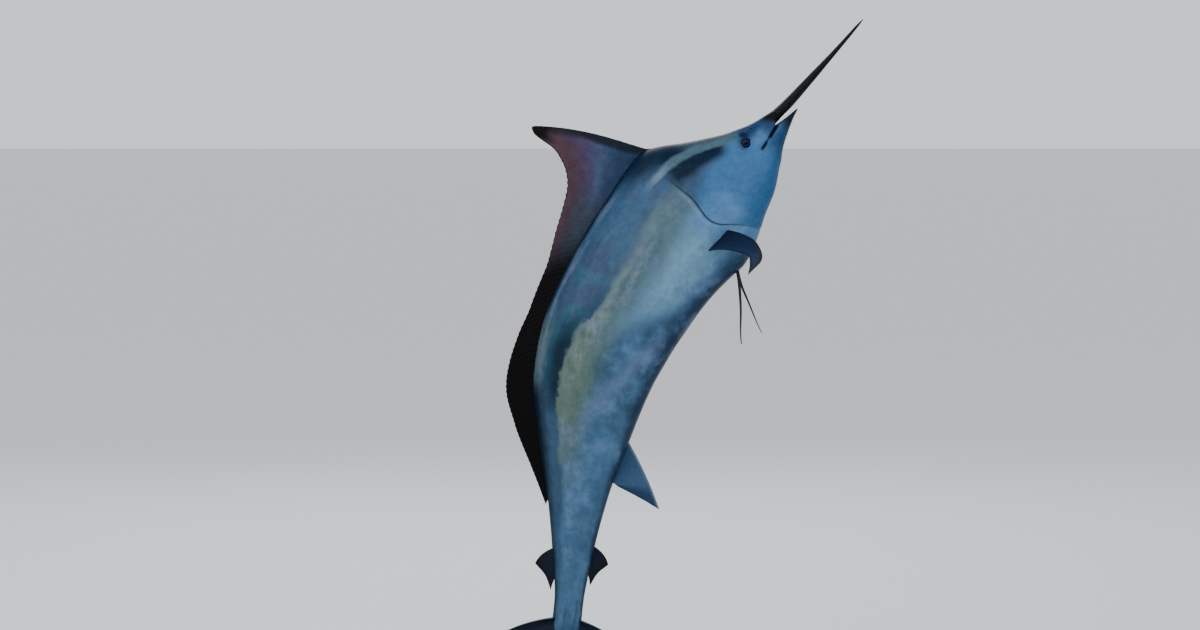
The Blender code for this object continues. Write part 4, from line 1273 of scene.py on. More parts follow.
@dataclass
class Skin:
    """Head, lower jaw, trunk and tail stock as one closed skin."""

    columns: int = 88
    crowding: float = 0.35  # how much closer the points stand on the flanks
    head_rows: int = 48
    trunk_rows: int = 92
    stock_rows: int = 76
    jaw_rows: int = 30
    lower_rows: int = 34
    chain: int = 9  # points across the mouth from one corner to the other
    end: float = 0.988 * SPINE.length
    stock_crowding: float = 1.35  # how much closer the rows stand towards the tail
    behind_edge: float = 0.014  # where the trunk's rows start, behind the gill cover
    gill_lift: float = 0.007
    gill_lift_length: float = 0.13
    gill_angles: Pair = (54.0, 84.0)  # degrees over which the edge rises from the back
    gill_low_angles: Pair = (114.0, 134.0)  # and over which it sinks towards the belly
    gill_low_share: float = 0.45
    gill_drop: float = 0.5  # how far below the full lift the steps start, as a share of it
    gill_steps: Rows = (  # behind the edge where it lies flat and where it stands proud, raise, painted shade in the slit
        (0.0085, 0.0020, -0.0015, 0.7),
        (0.0060, -0.0130, -0.0060, 1.0),
        (0.0030, -0.0010, 0.0000, 0.9),
    )
    edge_shares: Triple = (1.0, 0.992, 0.975)  # of the way from the mouth to the edge, for its first rings
    throat_rays: float = 30.0  # waves round the body, of which the throat shows a few
    arch: float = 0.007  # how much higher the middle of the mouth stands than the lips
    arch_from: float = 0.16  # where it stands that high
    blend_from: float = 0.150  # where the snout starts to turn into the bill
    snout_raise: float = 0.0012
    lip_shade: Pair = (0.4, 2.5)  # painted shade at the lip's edge, and over how many degrees
    mouth_shade: float = 0.95  # painted shade on the roof and the floor of the mouth
    mouth_bend: float = 0.02  # how far back the rear of the mouth reaches
    bill_join: Rows = ((0.008, -0.0006), (0.012, -0.0050))  # ahead of the bill's start, raise
    chin: Row = (0.020, 0.012, 0.005, 0.001)  # where the last rings of the lower jaw lie
    ring_ease: float = 0.75  # how round the outermost ring of a pit is
    eye_block: tuple[int, int] = (5, 5)
    eye_loops: Rows = (  # radius, raise, painted shade in the pit
        (0.0345, 0.0004, 0.0),
        (0.0290, 0.0015, 0.0),
        (0.0255, 0.0024, 0.1),
        (0.0235, 0.0016, 0.6),
        (0.0222, -0.0015, 1.0),
        (0.0200, -0.0060, 1.0),
        (0.0120, -0.0100, 1.0),
    )
    nostrils: Rows = ((0.254, 0.098), (0.234, 0.100))
    nostril_block: tuple[int, int] = (1, 1)
    # radius, raise, painted shade in the pit
    nostril_loops: Rows = ((0.0052, 0.0010, 0.0), (0.0034, 0.0000, 0.7), (0.0026, -0.0040, 1.0))
    shell: Shell = field(default_factory=lambda: Shell(("place", "flow", "marks"), ("hidden",)))
    grid: dict[tuple[int, int], BMVert] = field(default_factory=dict)
    spots: dict[tuple[int, int], Pair] = field(default_factory=dict)

    def folds(self) -> np.ndarray:
        """Degrees from the back round the right side, for each column."""
        share = np.arange(self.columns) / self.columns
        return 360.0 * share + self.crowding * 90.0 / math.pi * np.sin(4 * math.pi * share)

    @staticmethod
    def folded(angle: np.ndarray) -> np.ndarray:
        """Degrees from the back on either side."""
        return np.minimum(angle % 360.0, 360.0 - angle % 360.0)

    def cover(self, fold: np.ndarray) -> np.ndarray:
        """How much of the gill cover's edge stands proud at each angle, from 0 to 1."""
        low = (1.0 - self.gill_low_share) * rise(*self.gill_low_angles, fold)
        return rise(*self.gill_angles, fold) * (1.0 - low)

    def relief(self, s: np.ndarray, fold: np.ndarray) -> np.ndarray:
        """How far bone and muscle raise the skin.

        Args:
            s: Distances along the spine.
            fold: Degrees from the back.

        Returns:
            The rise, in metres.
        """
        behind = s - GILL_EDGE(fold)
        lift = self.gill_lift * rise(-self.gill_lift_length, 0.0, behind) * (behind <= 1e-6)
        rays = np.sin(np.radians(fold * self.throat_rays)) * THROAT.at(s, fold)
        return lift * self.cover(fold) + rays + sum(swelling.at(s, fold) for swelling in SWELLINGS.values())

    def ring(self, s: np.ndarray, angle: np.ndarray, grow: np.ndarray, hidden: Numbers = 0.0) -> Ring:
        """A ring of the trunk at distances s and angles in degrees, raised by grow."""
        h, r = TRUNK.outline(s, np.radians(angle), grow)
        return Ring(s, h, r, self.folded(angle), np.broadcast_to(hidden, s.shape).astype(float))

    def body_rings(self) -> list[Ring]:
        """Draws the rings from the tail fin forward to the corner of the mouth.

        Returns:
            The rings, in order.
        """
        angle = self.folds()
        fold = self.folded(angle)
        edge, proud = GILL_EDGE(fold), self.cover(fold)
        tail = np.linspace(0.0, 1.0, self.stock_rows, endpoint=False) ** self.stock_crowding
        stops = [np.full(self.columns, s) for s in self.end - (self.end - VENT) * tail]
        start = edge + self.behind_edge
        stops += [start + (VENT - start) * share for share in np.linspace(1.0, 0.0, self.trunk_rows)]
        rings = [self.ring(stop, angle, self.relief(stop, fold)) for stop in stops]
        top = self.relief(edge, fold) - self.gill_drop * self.gill_lift * proud
        for flat, tucked, raised, hidden in self.gill_steps:
            stop = edge + flat * (1 - proud) + tucked * proud
            base = top if raised >= 0 else 0.0
            rings.append(self.ring(stop, angle, base + raised * proud, hidden * proud))
        shares = [*self.edge_shares[:2], *np.linspace(self.edge_shares[2], 0.0, self.head_rows)]
        stops = [MOUTH_CORNER + (edge - MOUTH_CORNER) * share for share in shares]
        return rings + [self.ring(stop, angle, self.relief(stop, fold)) for stop in stops]

    def jaw_ring(self, jaw: Section, s: float, angle: np.ndarray, share: np.ndarray, grow: float) -> Ring:
        """A ring of one jaw.

        Args:
            jaw: The section whose widest place is the edge of the jaw's lip.
            s: Where the ring lies.
            angle: Degrees from the back at which the skin's points stand.
            share: Shares of the way through the mouth, from the last of those points back to the first.
            grow: How far the whole ring is raised.

        Returns:
            The skin's points, then those of the roof or the floor of the mouth.
        """
        fold = self.folded(angle)
        stop = np.full(len(angle), s)
        h, r = jaw.outline(stop, np.radians(angle), self.relief(stop, fold) + LIP.at(stop, fold) + grow)
        edge, half = float(jaw.middle(s)), float(abs(r[-1]))
        across = math.copysign(1.0, r[-1]) * (half - 2 * half * share)
        arch = self.arch * (1 - (across / half) ** 2) * float(rise(0.0, self.arch_from, s))
        if jaw is TRUNK:
            round_h, round_r = BILL.outline(stop, np.radians(angle), grow)
            under_h, under_r = BILL.outline(np.full(len(share), s), np.radians(90 + 180 * share), grow)
            part = float(rise(self.blend_from, BILL_START, s))
            h, r = h + (round_h - h) * part, r + (round_r - r) * part
            arch = arch + (under_h - edge - arch) * part
            across = across + (under_r - across) * part
        inside = np.ones(len(share))
        dark, spread = self.lip_shade
        hidden = np.concatenate([dark * hill(90, spread, fold), self.mouth_shade * inside])
        h, r = np.concatenate([h, edge + arch]), np.concatenate([r, across])
        return Ring(np.full(len(h), s), h, r, np.concatenate([fold, 90.0 * inside]), hidden)

    def lay(self, verts: Loop, ring: Ring) -> None:
        """Moves vertices to a ring's places and stores what the finish reads there.

        Args:
            verts: The vertices.
            ring: The ring.
        """
        s, h, r = ring.s, ring.h, ring.r
        level = np.where(h > 0, h / TRUNK.top(s), -h / TRUNK.bottom(s))
        place, flow = np.stack([s, h, level], axis=1), np.stack([s, ring.girth(), r], axis=1)
        marks = np.stack([h - BAND_TOP(s), h - BAND_LOW(s), s - GILL_EDGE(ring.fold)], axis=1)
        places = SPINE.point(s, h, r)
        self.shell.write(verts, places, place=place, flow=flow, marks=marks, hidden=ring.hidden)

    def build(self, material: Material) -> None:
        """Makes the whole skin.

        Args:
            material: Its finish.
        """
        rings = self.body_rings()
        first = loop = self.shell.circle(self.columns)
        for row, ring in enumerate(rings):
            if row:
                loop = self.shell.step_on(loop)
            self.lay(loop, ring)
            self.note(row, range(self.columns), loop, ring)
        self.shell.close_end(first)
        self.build_jaws(loop, len(rings))
        for side in Side:
            self.open_ring(EYE_SPOT, self.eye_block, self.eye_loops, side)
            for spot in self.nostrils:
                self.open_ring(spot, self.nostril_block, self.nostril_loops, side)
        self.shell.place("marlin_skin", material, "skin", ("head", "lower_jaw", "torso", "tail_stock"))

    def note(self, row: int, columns: Sequence[int], loop: Loop, ring: Ring) -> None:
        """Remembers which vertex stands in a row and column, and where.

        Args:
            row: The number of the ring.
            columns: The column of each vertex.
            loop: The vertices.
            ring: Their places, which may have more at the end.
        """
        for column, vert, s, h in zip(columns, loop, ring.s, ring.h):
            self.grid[row, column] = vert
            self.spots[row, column] = (float(s), float(h))

    def build_jaws(self, loop: list[BMVert], row: int) -> None:
        """Splits the last ring at the corners of the mouth and draws both jaws forward.

        Args:
            loop: The last ring, round the corner of the mouth.
            row: The number of the next row.
        """
        shell = self.shell
        quarter = self.columns // 4
        across = [loop[quarter]]
        for _ in range(self.chain):
            across += bmesh.ops.extrude_vert_indiv(shell.mesh, verts=across[-1:])["verts"]
        shell.mesh.edges.new((across[-1], loop[-quarter]))
        across = across[1:]
        share = np.arange(1, self.chain + 1) / (self.chain + 1)
        angle = self.folds()
        middle = self.jaw_ring(TRUNK, MOUTH_CORNER, angle[quarter : quarter + 1], share, 0.0)
        middle.s[:] = MOUTH_CORNER + self.mouth_bend * np.sin(np.pi * np.concatenate([[0.0], share]))
        self.lay(across, Ring(*(value[1:] for value in vars(middle).values())))
        columns = [*range(self.columns - quarter, self.columns), *range(quarter + 1)]
        upper = [loop[c] for c in columns] + across
        lower = list(loop[quarter : self.columns - quarter + 1]) + across[::-1]
        turned = np.where(angle[columns] > 180.0, angle[columns] - 360.0, angle[columns])
        for k, s in enumerate(np.linspace(MOUTH_CORNER, BILL_START, self.jaw_rows + 1)[1:]):
            upper = shell.step_on(upper)
            raised = self.snout_raise * float(rise(MOUTH_CORNER, self.blend_from, s))
            ring = self.jaw_ring(TRUNK, float(s), turned, share, raised)
            self.lay(upper, ring)
            self.note(row + k, columns, upper, ring)
        for ahead, sink in self.bill_join:
            upper = shell.step_on(upper)
            self.lay(upper, self.jaw_ring(TRUNK, BILL_START - ahead, turned, share, sink))
        shell.close_end(upper)
        skin_angle = angle[quarter : self.columns - quarter + 1]
        for s in [*np.linspace(MOUTH_CORNER, self.chin[0], self.lower_rows)[1:], *self.chin[1:]]:
            lower = shell.step_on(lower)
            self.lay(lower, self.jaw_ring(LOWER_JAW, float(s), skin_angle, share, 0.0))
        shell.close_end(lower)

    def open_ring(self, centre: Row, block: tuple[int, int], loops: Rows, side: Side) -> None:
        """Swaps a block of the skin's faces for round rings that lead into a pit.

        Args:
            centre: s and h of the pit.
            block: How many rows and columns are cleared to each side.
            loops: Radius, raise and painted shade of each ring, from the outside in.
            side: The side of the fish.
        """
        ours = [key for key in self.spots if (self.columns / 2 - key[1]) * side.value >= 0]
        row, column = min(ours, key=lambda key: math.dist(self.spots[key], centre))
        rows = range(row - block[0], row + block[0] + 1)
        columns = range(column - block[1], column + block[1] + 1)
        outline = [(rows[0], c) for c in columns] + [(r, columns[-1]) for r in rows[1:]]
        outline += [(rows[-1], c) for c in reversed(columns[:-1])]
        outline += [(r, columns[0]) for r in reversed(rows[1:-1])]
        inner = {self.grid[r, c] for r in rows for c in columns}
        faces = {face for vert in inner for face in vert.link_faces if set(face.verts) <= inner}
        bmesh.ops.delete(self.shell.mesh, geom=list(faces), context="FACES")
        loop = [self.grid[key] for key in outline]
        spots = np.array([self.spots[key] for key in outline])
        away = spots - np.array(centre)
        turn = np.unwrap(np.arctan2(away[:, 1], away[:, 0]))
        for k, (radius, raised, hidden) in enumerate(loops):
            circle = np.array(centre) + radius * np.stack([np.cos(turn), np.sin(turn)], axis=1)
            s, wanted = (spots + (circle - spots) * (1.0 if k else self.ring_ease)).T
            fold = TRUNK.angle_at(s, wanted)
            h, r = TRUNK.outline(s, fold, self.relief(s, np.degrees(fold)) + raised)
            loop = self.shell.step_on(loop)
            self.lay(loop, Ring(s, h, r * side.value, np.degrees(fold), np.full(len(s), float(hidden))))
        self.shell.close_end(loop)


@dataclass
class Bill:
    """The long round bill, from inside the upper jaw to its tip."""

    sides: int = 40
    rows: int = 64
    crowding: float = 1.2  # how much closer the rows stand at the tip
    tip: float = -0.547
    root: float = 0.135
    sink: float = 0.008  # how far the root draws in
    sink_from: float = 0.088

    def build(self, material: Material) -> None:
        """Makes the bill.

        Args:
            material: Its finish.
        """
        shell = Shell(("flow",))
        first = loop = shell.circle(self.sides)
        angle = 2 * math.pi * np.arange(self.sides) / self.sides
        fold = np.minimum(angle, 2 * math.pi - angle)
        for row, share in enumerate(np.linspace(0.0, 1.0, self.rows) ** self.crowding):
            s = np.full(self.sides, self.tip + (self.root - self.tip) * share)
            h, r = BILL.outline(s, angle, -self.sink * rise(self.sink_from, self.root, s))
            if row:
                loop = shell.step_on(loop)
            shell.write(loop, SPINE.point(s, h, r), flow=np.stack([s, fold * BILL.wide(s), r], axis=1))
        shell.close_end(first)
        shell.close_end(loop)
        shell.place("bill_horn", material, "bill", ("bill",))


@dataclass
class Eyeball:
    """One eyeball, set as deep as its socket."""

    side: Side
    radius: float = 0.031
    bulge: float = 0.009  # how far it stands out of the skin
    around: int = 48
    levels: int = 32

    def build(self, material: Material) -> None:
        """Makes the eyeball, with its pole towards the side.

        Args:
            material: Its finish, which reads each point's angle from the pole.
        """
        s, h = (np.array([value]) for value in EYE_SPOT)
        _, reach = TRUNK.outline(s, TRUNK.angle_at(s, h))
        centre = SPINE.point(s, h, self.side.value * (reach - self.radius + self.bulge))[0]
        _, tailward, back, right = (axis[0] for axis in SPINE.axes(s))
        turn = Matrix(np.stack([tailward, back, right * self.side.value], axis=1).tolist())
        if turn.determinant() < 0:
            turn = turn @ Matrix.Diagonal((-1.0, 1.0, 1.0))
        shell = Shell((), ("gaze",))
        ball = {"u_segments": self.around, "v_segments": self.levels, "radius": self.radius}
        verts = bmesh.ops.create_uvsphere(shell.mesh, **ball)["verts"]
        for vert in verts:
            vert[shell.layers["gaze"]] = math.atan2(math.hypot(vert.co.x, vert.co.y), vert.co.z)
        move = Matrix.Translation(centre.tolist()) @ turn.to_4x4()
        bmesh.ops.transform(shell.mesh, matrix=move, verts=verts)
        word = self.side.name.lower()
        shell.place(f"eyeball_{word}", material, "eye", (f"eye_{word}",), 0)


@dataclass(frozen=True)
class Blade:
    """Half the thickness of a fin's web at root and edge, and how proud its rays stand there."""

    root: float = 0.0055
    edge: float = 0.0008
    ray_root: float = 0.0024
    ray_edge: float = 0.0007
    taper: float = 0.6

    def half(self, out: np.ndarray, ridge: np.ndarray) -> np.ndarray:
        """Half the thickness at each share of the way out, where the ray's crest is ridge high."""
        web = self.root + (self.edge - self.root) * out**self.taper
        return web + ridge * (self.ray_root + (self.ray_edge - self.ray_root) * out)


THICK_BLADE = Blade()
LOW_BLADE = Blade(0.0055, 0.0008, 0.0016, 0.0005)
THIN_BLADE = Blade(0.0030, 0.0008, 0.0014, 0.0005)
TAIL_BLADE = Blade(0.0175, 0.0011, 0.0040, 0.0009)


@dataclass(kw_only=True)
class Fin:
    """A fin as a closed sheet with a crest along each ray."""

    name: str = ""
    nodes: tuple[str, ...] = ()
    slot: str = "fin"
    blade: Blade = THICK_BLADE
    rays: int = 40
    steps: int = 4  # columns from one ray to the next
    scallop: float = 0.012  # how far the edge draws in between two rays, as a share of their length
    scallop_span: Pair = (0.2, 0.3)  # shares of the way across over which it starts
    scallop_late: int = 6  # how close to the edge it stays
    blunt: Pair = (0.4, 0.04)  # how thick the front is, and the share of the way across where that ends

    def line(self, share: float) -> np.ndarray:
        """Draws one ray, which each kind of fin does in its own way.

        Args:
            share: How far back the ray stands, from 0 to 1.

        Returns:
            Places from root to edge.
        """
        raise NotImplementedError

    def build(self, material: Material) -> None:
        """Makes the fin.

        Args:
            material: Its finish.
        """
        columns = self.rays * self.steps + 1
        share = np.linspace(0.0, 1.0, columns)
        lines = np.array([self.line(float(value)) for value in share])
        deep = lines.shape[1]
        out = np.linspace(0.0, 1.0, deep)
        crest = (0.5 + 0.5 * np.cos(2 * math.pi * share * self.rays))[:, None] * np.ones(deep)
        pull = self.scallop * (1 - crest) * out**self.scallop_late * rise(*self.scallop_span, share)[:, None]
        lines = lines - (lines - lines[:, :1]) * pull[:, :, None]
        flat = lines.reshape(-1, 3)
        middle = SPINE.point(flat[:, 0], flat[:, 1], flat[:, 2]).reshape(lines.shape)
        side = np.cross(np.gradient(middle, axis=0), np.gradient(middle, axis=1))
        side /= np.maximum(np.linalg.norm(side, axis=2, keepdims=True), 1e-9)
        thin, end = self.blunt
        front = thin + (1 - thin) * np.sqrt(np.clip(share / end, 0.0, 1.0))
        offset = side * (self.blade.half(out[None, :], crest) * front[:, None])[:, :, None]
        gap = np.array([np.linalg.norm(line[:, None] - middle[:, -1], axis=2).min(axis=1) for line in middle])
        spots = np.stack([np.repeat(share, deep), np.tile(out, columns), crest.ravel()], axis=1)
        shell = Shell(("ray_place",), ("rim",))
        mesh = shell.mesh
        bmesh.ops.create_grid(mesh, x_segments=deep - 1, y_segments=columns - 1, size=1.0)
        sheet = mesh.verts[:]
        copied = bmesh.ops.duplicate(mesh, geom=sheet + mesh.edges[:] + mesh.faces[:])["vert_map"]
        for verts, sign in ((sheet, 1.0), ([copied[vert] for vert in sheet], -1.0)):
            shell.write(verts, (middle + sign * offset).reshape(-1, 3), ray_place=spots, rim=gap.ravel())
        bmesh.ops.bridge_loops(mesh, edges=[edge for edge in mesh.edges if edge.is_boundary])
        shell.place(self.name, material, self.slot, self.nodes)


@dataclass(kw_only=True)
class FirstDorsal(Fin):
    """The first dorsal fin: a tall lobe in front and a long low ribbon behind it."""

    name: str = "dorsal_fin"
    nodes: tuple[str, ...] = ("dorsal_fin_lobe", "dorsal_fin_ribbon")
    blade: Blade = LOW_BLADE
    rays: int = 84
    steps: int = 5
    scallop: float = 0.020
    front: Rows = (
        (0.655, 0.326),
        (0.690, 0.353),
        (0.716, 0.377),
        (0.750, 0.426),
        (0.790, 0.517),
        (0.846, 0.652),
        (0.915, 0.802),
    )
    tip: Row = (0.942, 0.848)
    rear: Rows = (
        (0.955, 0.805),
        (0.950, 0.700),
        (0.968, 0.612),
        (1.018, 0.528),
        (1.100, 0.478),
        (1.200, 0.440),
    )
    base: Pair = (0.640, 1.105)
    lean: float = 0.035  # to the left, at the height over the back that follows
    lean_rise: float = 0.5
    tip_share: float = 6 / 17  # of the lobe's rays, which end ahead of the tip
    crowding: float = 1.1
    bow: Triple = (-0.10, 0.04, 0.0)
    ribbon_end: float = 2.330
    ribbon_bow: Triple = (0.35, 0.60, 0.0)
    ribbon_heights: Rows = (
        (1.200, 0.128),
        (1.330, 0.095),
        (1.480, 0.090),
        (1.600, 0.112),
        (1.720, 0.134),
        (1.850, 0.146),
        (2.000, 0.124),
        (2.200, 0.070),
        (2.400, 0.014),
    )
    rows: int = 20
    lobe_share: float = 0.40  # of the rays
    outline: Path = field(init=False)
    turn: float = field(init=False)
    heights: Curve = field(init=False)

    def __post_init__(self) -> None:
        """Measures the fin's outline."""
        self.outline = Path((*self.front, self.tip, *self.rear))
        self.turn = Path((*self.front, self.tip)).length / self.outline.length
        self.heights = Curve(self.ribbon_heights)

    def ribbon_ray(self, share: float) -> tuple[np.ndarray, ...]:
        """Gives the three places that draw a ray of the ribbon.

        Args:
            share: How far back the ray stands, from 0 to 1.

        Returns:
            Root, bow and edge.
        """
        start, end = self.rear[-1][0], self.ribbon_heights[-1][0]
        s_edge = start + (end - start) * share
        base = self.base[1] + (self.ribbon_end - self.base[1]) * share
        root = np.array([base, float(TRUNK.top(base)) - FIN_SINK, 0.0])
        edge = np.array([s_edge, float(TRUNK.top(s_edge) + self.heights(s_edge)), 0.0])
        return root, root + (edge - root) * self.ribbon_bow, edge

    def lobe_line(self, share: float) -> np.ndarray:
        """Draws one ray of the lobe.

        Args:
            share: How far back the ray stands, from 0 to 1.

        Returns:
            Places from root to edge.
        """
        way = float(np.interp(share, (0.0, self.tip_share, 1.0), (0.0, self.turn, 1.0)))
        base = self.base[0] + (self.base[1] - self.base[0]) * share**self.crowding
        s_edge, h_edge = self.outline(way)
        climb = h_edge - float(TRUNK.top(s_edge))
        last = share**4
        root = np.array([base, float(TRUNK.top(base)) - FIN_SINK, 0.0])
        edge = np.array([s_edge, h_edge, -self.lean * (climb / self.lean_rise) ** 2 * (1 - last)])
        control = (root + edge) / 2 + np.array(self.bow) * climb
        control += (self.ribbon_ray(0.0)[1] - control) * last
        control[2] = 0.0
        return bent(root, control, edge, self.rows)

    def line(self, share: float) -> np.ndarray:
        """Draws one ray of the whole fin.

        Args:
            share: How far back the ray stands, from 0 to 1.

        Returns:
            Places from root to edge.
        """
        if share <= self.lobe_share:
            return self.lobe_line(share / self.lobe_share)
        return bent(*self.ribbon_ray((share - self.lobe_share) / (1 - self.lobe_share)), self.rows)


@dataclass(kw_only=True)
class MedianFin(Fin):
    """A fin in the middle of the back (side 1) or of the belly (side -1)."""

    name: str
    root: Pair  # s of the front and the rear of the root
    peak: Pair  # s and height of the tip over the back or the belly
    rear: Pair  # the same of the rear corner
    side: int = -1
    rays: int = 8
    rows: int = 12
    blade: Blade = THIN_BLADE
    sink: float = 0.018
    hollow: Pair = (-0.04, 0.07)  # of the rear edge, in shares of its length
    bow: Pair = (-0.11, 0.20)  # of the rays, in shares of their length
    ease: float = 0.6  # how much straighter the last ray is
    edge_path: Path = field(init=False)

    def contour(self, s: float) -> float:
        """The height of the back or of the belly."""
        return float(TRUNK.top(s) if self.side > 0 else TRUNK.bottom(s))

    def __post_init__(self) -> None:
        """Notes the solid and works out the fin's rear edge."""
        self.nodes = (f"{self.name}_fin",)
        tip, end = (np.array([s, self.contour(s) + self.side * up, 0.0]) for s, up in (self.peak, self.rear))
        sag = np.array([self.hollow[0], -self.side * self.hollow[1], 0.0])
        middle = (tip + end) / 2 + sag * np.linalg.norm(tip - end)
        self.edge_path = Path((tip, middle, end))

    def line(self, share: float) -> np.ndarray:
        """Draws one ray.

        Args:
            share: How far back the ray stands, from 0 to 1.

        Returns:
            Places from root to edge.
        """
        base = self.root[0] + (self.root[1] - self.root[0]) * share
        root = np.array([base, self.contour(base) - self.side * self.sink, 0.0])
        edge = self.edge_path(share)
        bulge = np.linalg.norm(edge - root) * (1 - self.ease * share)
        control = (root + edge) / 2 + np.array([self.bow[0], self.side * self.bow[1], 0.0]) * bulge
        return bent(root, control, edge, self.rows)


@dataclass(kw_only=True)
class Pectoral(Fin):
    """A pectoral fin, spread and swept: a sickle whose rays run out to its tip and its rear edge."""

    side: Side
    front: Rows = (
        (0.668, -0.196, 0.125),
        (0.616, -0.258, 0.300),
        (0.590, -0.322, 0.450),
        (0.606, -0.378, 0.560),
        (0.650, -0.403, 0.640),
        (0.752, -0.403, 0.720),
    )
    rear: Rows = (
        (0.842, -0.200, 0.125),
        (0.762, -0.248, 0.275),
        (0.700, -0.308, 0.410),
        (0.674, -0.348, 0.520),
        (0.700, -0.376, 0.610),
        (0.752, -0.403, 0.720),
    )
    rows: int = 26
    rays: int = 22
    scallop: float = 0.0
    rear_ray: float = 0.14  # how far out the last ray ends
    crowding: float = 1.3
    narrowing: int = 3  # how late the rays spread to the rear
    front_path: Path = field(init=False)
    rear_path: Path = field(init=False)

    def __post_init__(self) -> None:
        """Names the fin after its side and measures both edges."""
        word = self.side.name.lower()
        self.name, self.nodes = f"pectoral_{word}", (f"pectoral_fin_{word}",)
        self.front_path, self.rear_path = Path(self.front), Path(self.rear)

    def line(self, share: float) -> np.ndarray:
        """Draws one ray.

        Args:
            share: How far back the ray stands, from 0 to 1.

        Returns:
            Places from root to edge.
        """
        stop = 1.0 - (1.0 - self.rear_ray) * share**self.crowding
        t = np.linspace(0.0, 1.0, self.rows + 1)
        front, rear = self.front_path(t * stop), self.rear_path(t * stop)
        weight = np.array([share ** (1.0 - step**self.narrowing) for step in t])[:, None]
        return (front + (rear - front) * weight) * [1.0, 1.0, self.side.value]


@dataclass(kw_only=True)
class Pelvic(Fin):
    """A pelvic fin, a long narrow blade."""

    side: Side
    places: Rows
    width: Pair = (0.012, 0.0035)  # half of it, at the root and at the tip
    rows: int = 40
    blade: Blade = THIN_BLADE
    rays: int = 3
    scallop: float = 0.0
    step: float = 0.02  # the share of the way over which the blade's direction is taken
    taper: float = 0.7

    def __post_init__(self) -> None:
        """Names the fin after its side."""
        word = self.side.name.lower()
        self.name, self.nodes = f"pelvic_{word}", (f"pelvic_fin_{word}",)

    def line(self, share: float) -> np.ndarray:
        """Draws one line along the blade.

        Args:
            share: Where the line lies across the blade, from 0 to 1.

        Returns:
            Places from root to tip.
        """
        path = Path(self.places)
        t = np.linspace(0.0, 1.0 - self.step, self.rows + 1)
        here, ahead = path(t), path(t + self.step)
        along = (ahead - here) / np.linalg.norm(ahead - here, axis=1, keepdims=True)
        across = np.cross(along, [0.0, 0.0, 1.0])
        width = self.width[0] + (self.width[1] - self.width[0]) * t**self.taper
        return here + across * ((2 * share - 1) * width)[:, None]


@dataclass(kw_only=True)
class TailLobe(Fin):
    """The upper lobe (side 1) or the lower one (side -1) of the crescent tail fin."""

    side: int
    root: Pair = (2.968, 0.060)  # s and h of the front ray's root
    bow: Pair = (3.040, 0.385)  # of the place that pulls the front ray aside
    rear: Rows = ((3.372, 0.590), (3.262, 0.450), (3.180, 0.300), (3.128, 0.150), (3.104, 0.0))
    fanning: float = 1.4  # how soon the rays straighten towards the fork
    rows: int = 24
    blade: Blade = TAIL_BLADE
    rays: int = 27
    gap: float = 0.0003  # between the lobes

    def __post_init__(self) -> None:
        """Names the lobe."""
        word = "upper" if self.side > 0 else "lower"
        self.name, self.nodes = f"tail_lobe_{word}", (f"caudal_fin_{word}",)

    def line(self, share: float) -> np.ndarray:
        """Draws one ray.

        Args:
            share: Where the ray stands, from 0 at the front to 1 at the fork.

        Returns:
            Places from root to edge.
        """
        side = self.side
        root = np.array([self.root[0], side * (self.root[1] * (1 - share) + self.gap / 2 * share), 0.0])
        s_edge, h_edge = Path(self.rear)(share)
        edge = np.array([s_edge, side * max(h_edge, self.gap / 2), 0.0])
        control = (root + edge) / 2
        control += (np.array([self.bow[0], side * self.bow[1], 0.0]) - control) * (1 - share) ** self.fanning
        return bent(root, control, edge, self.rows)


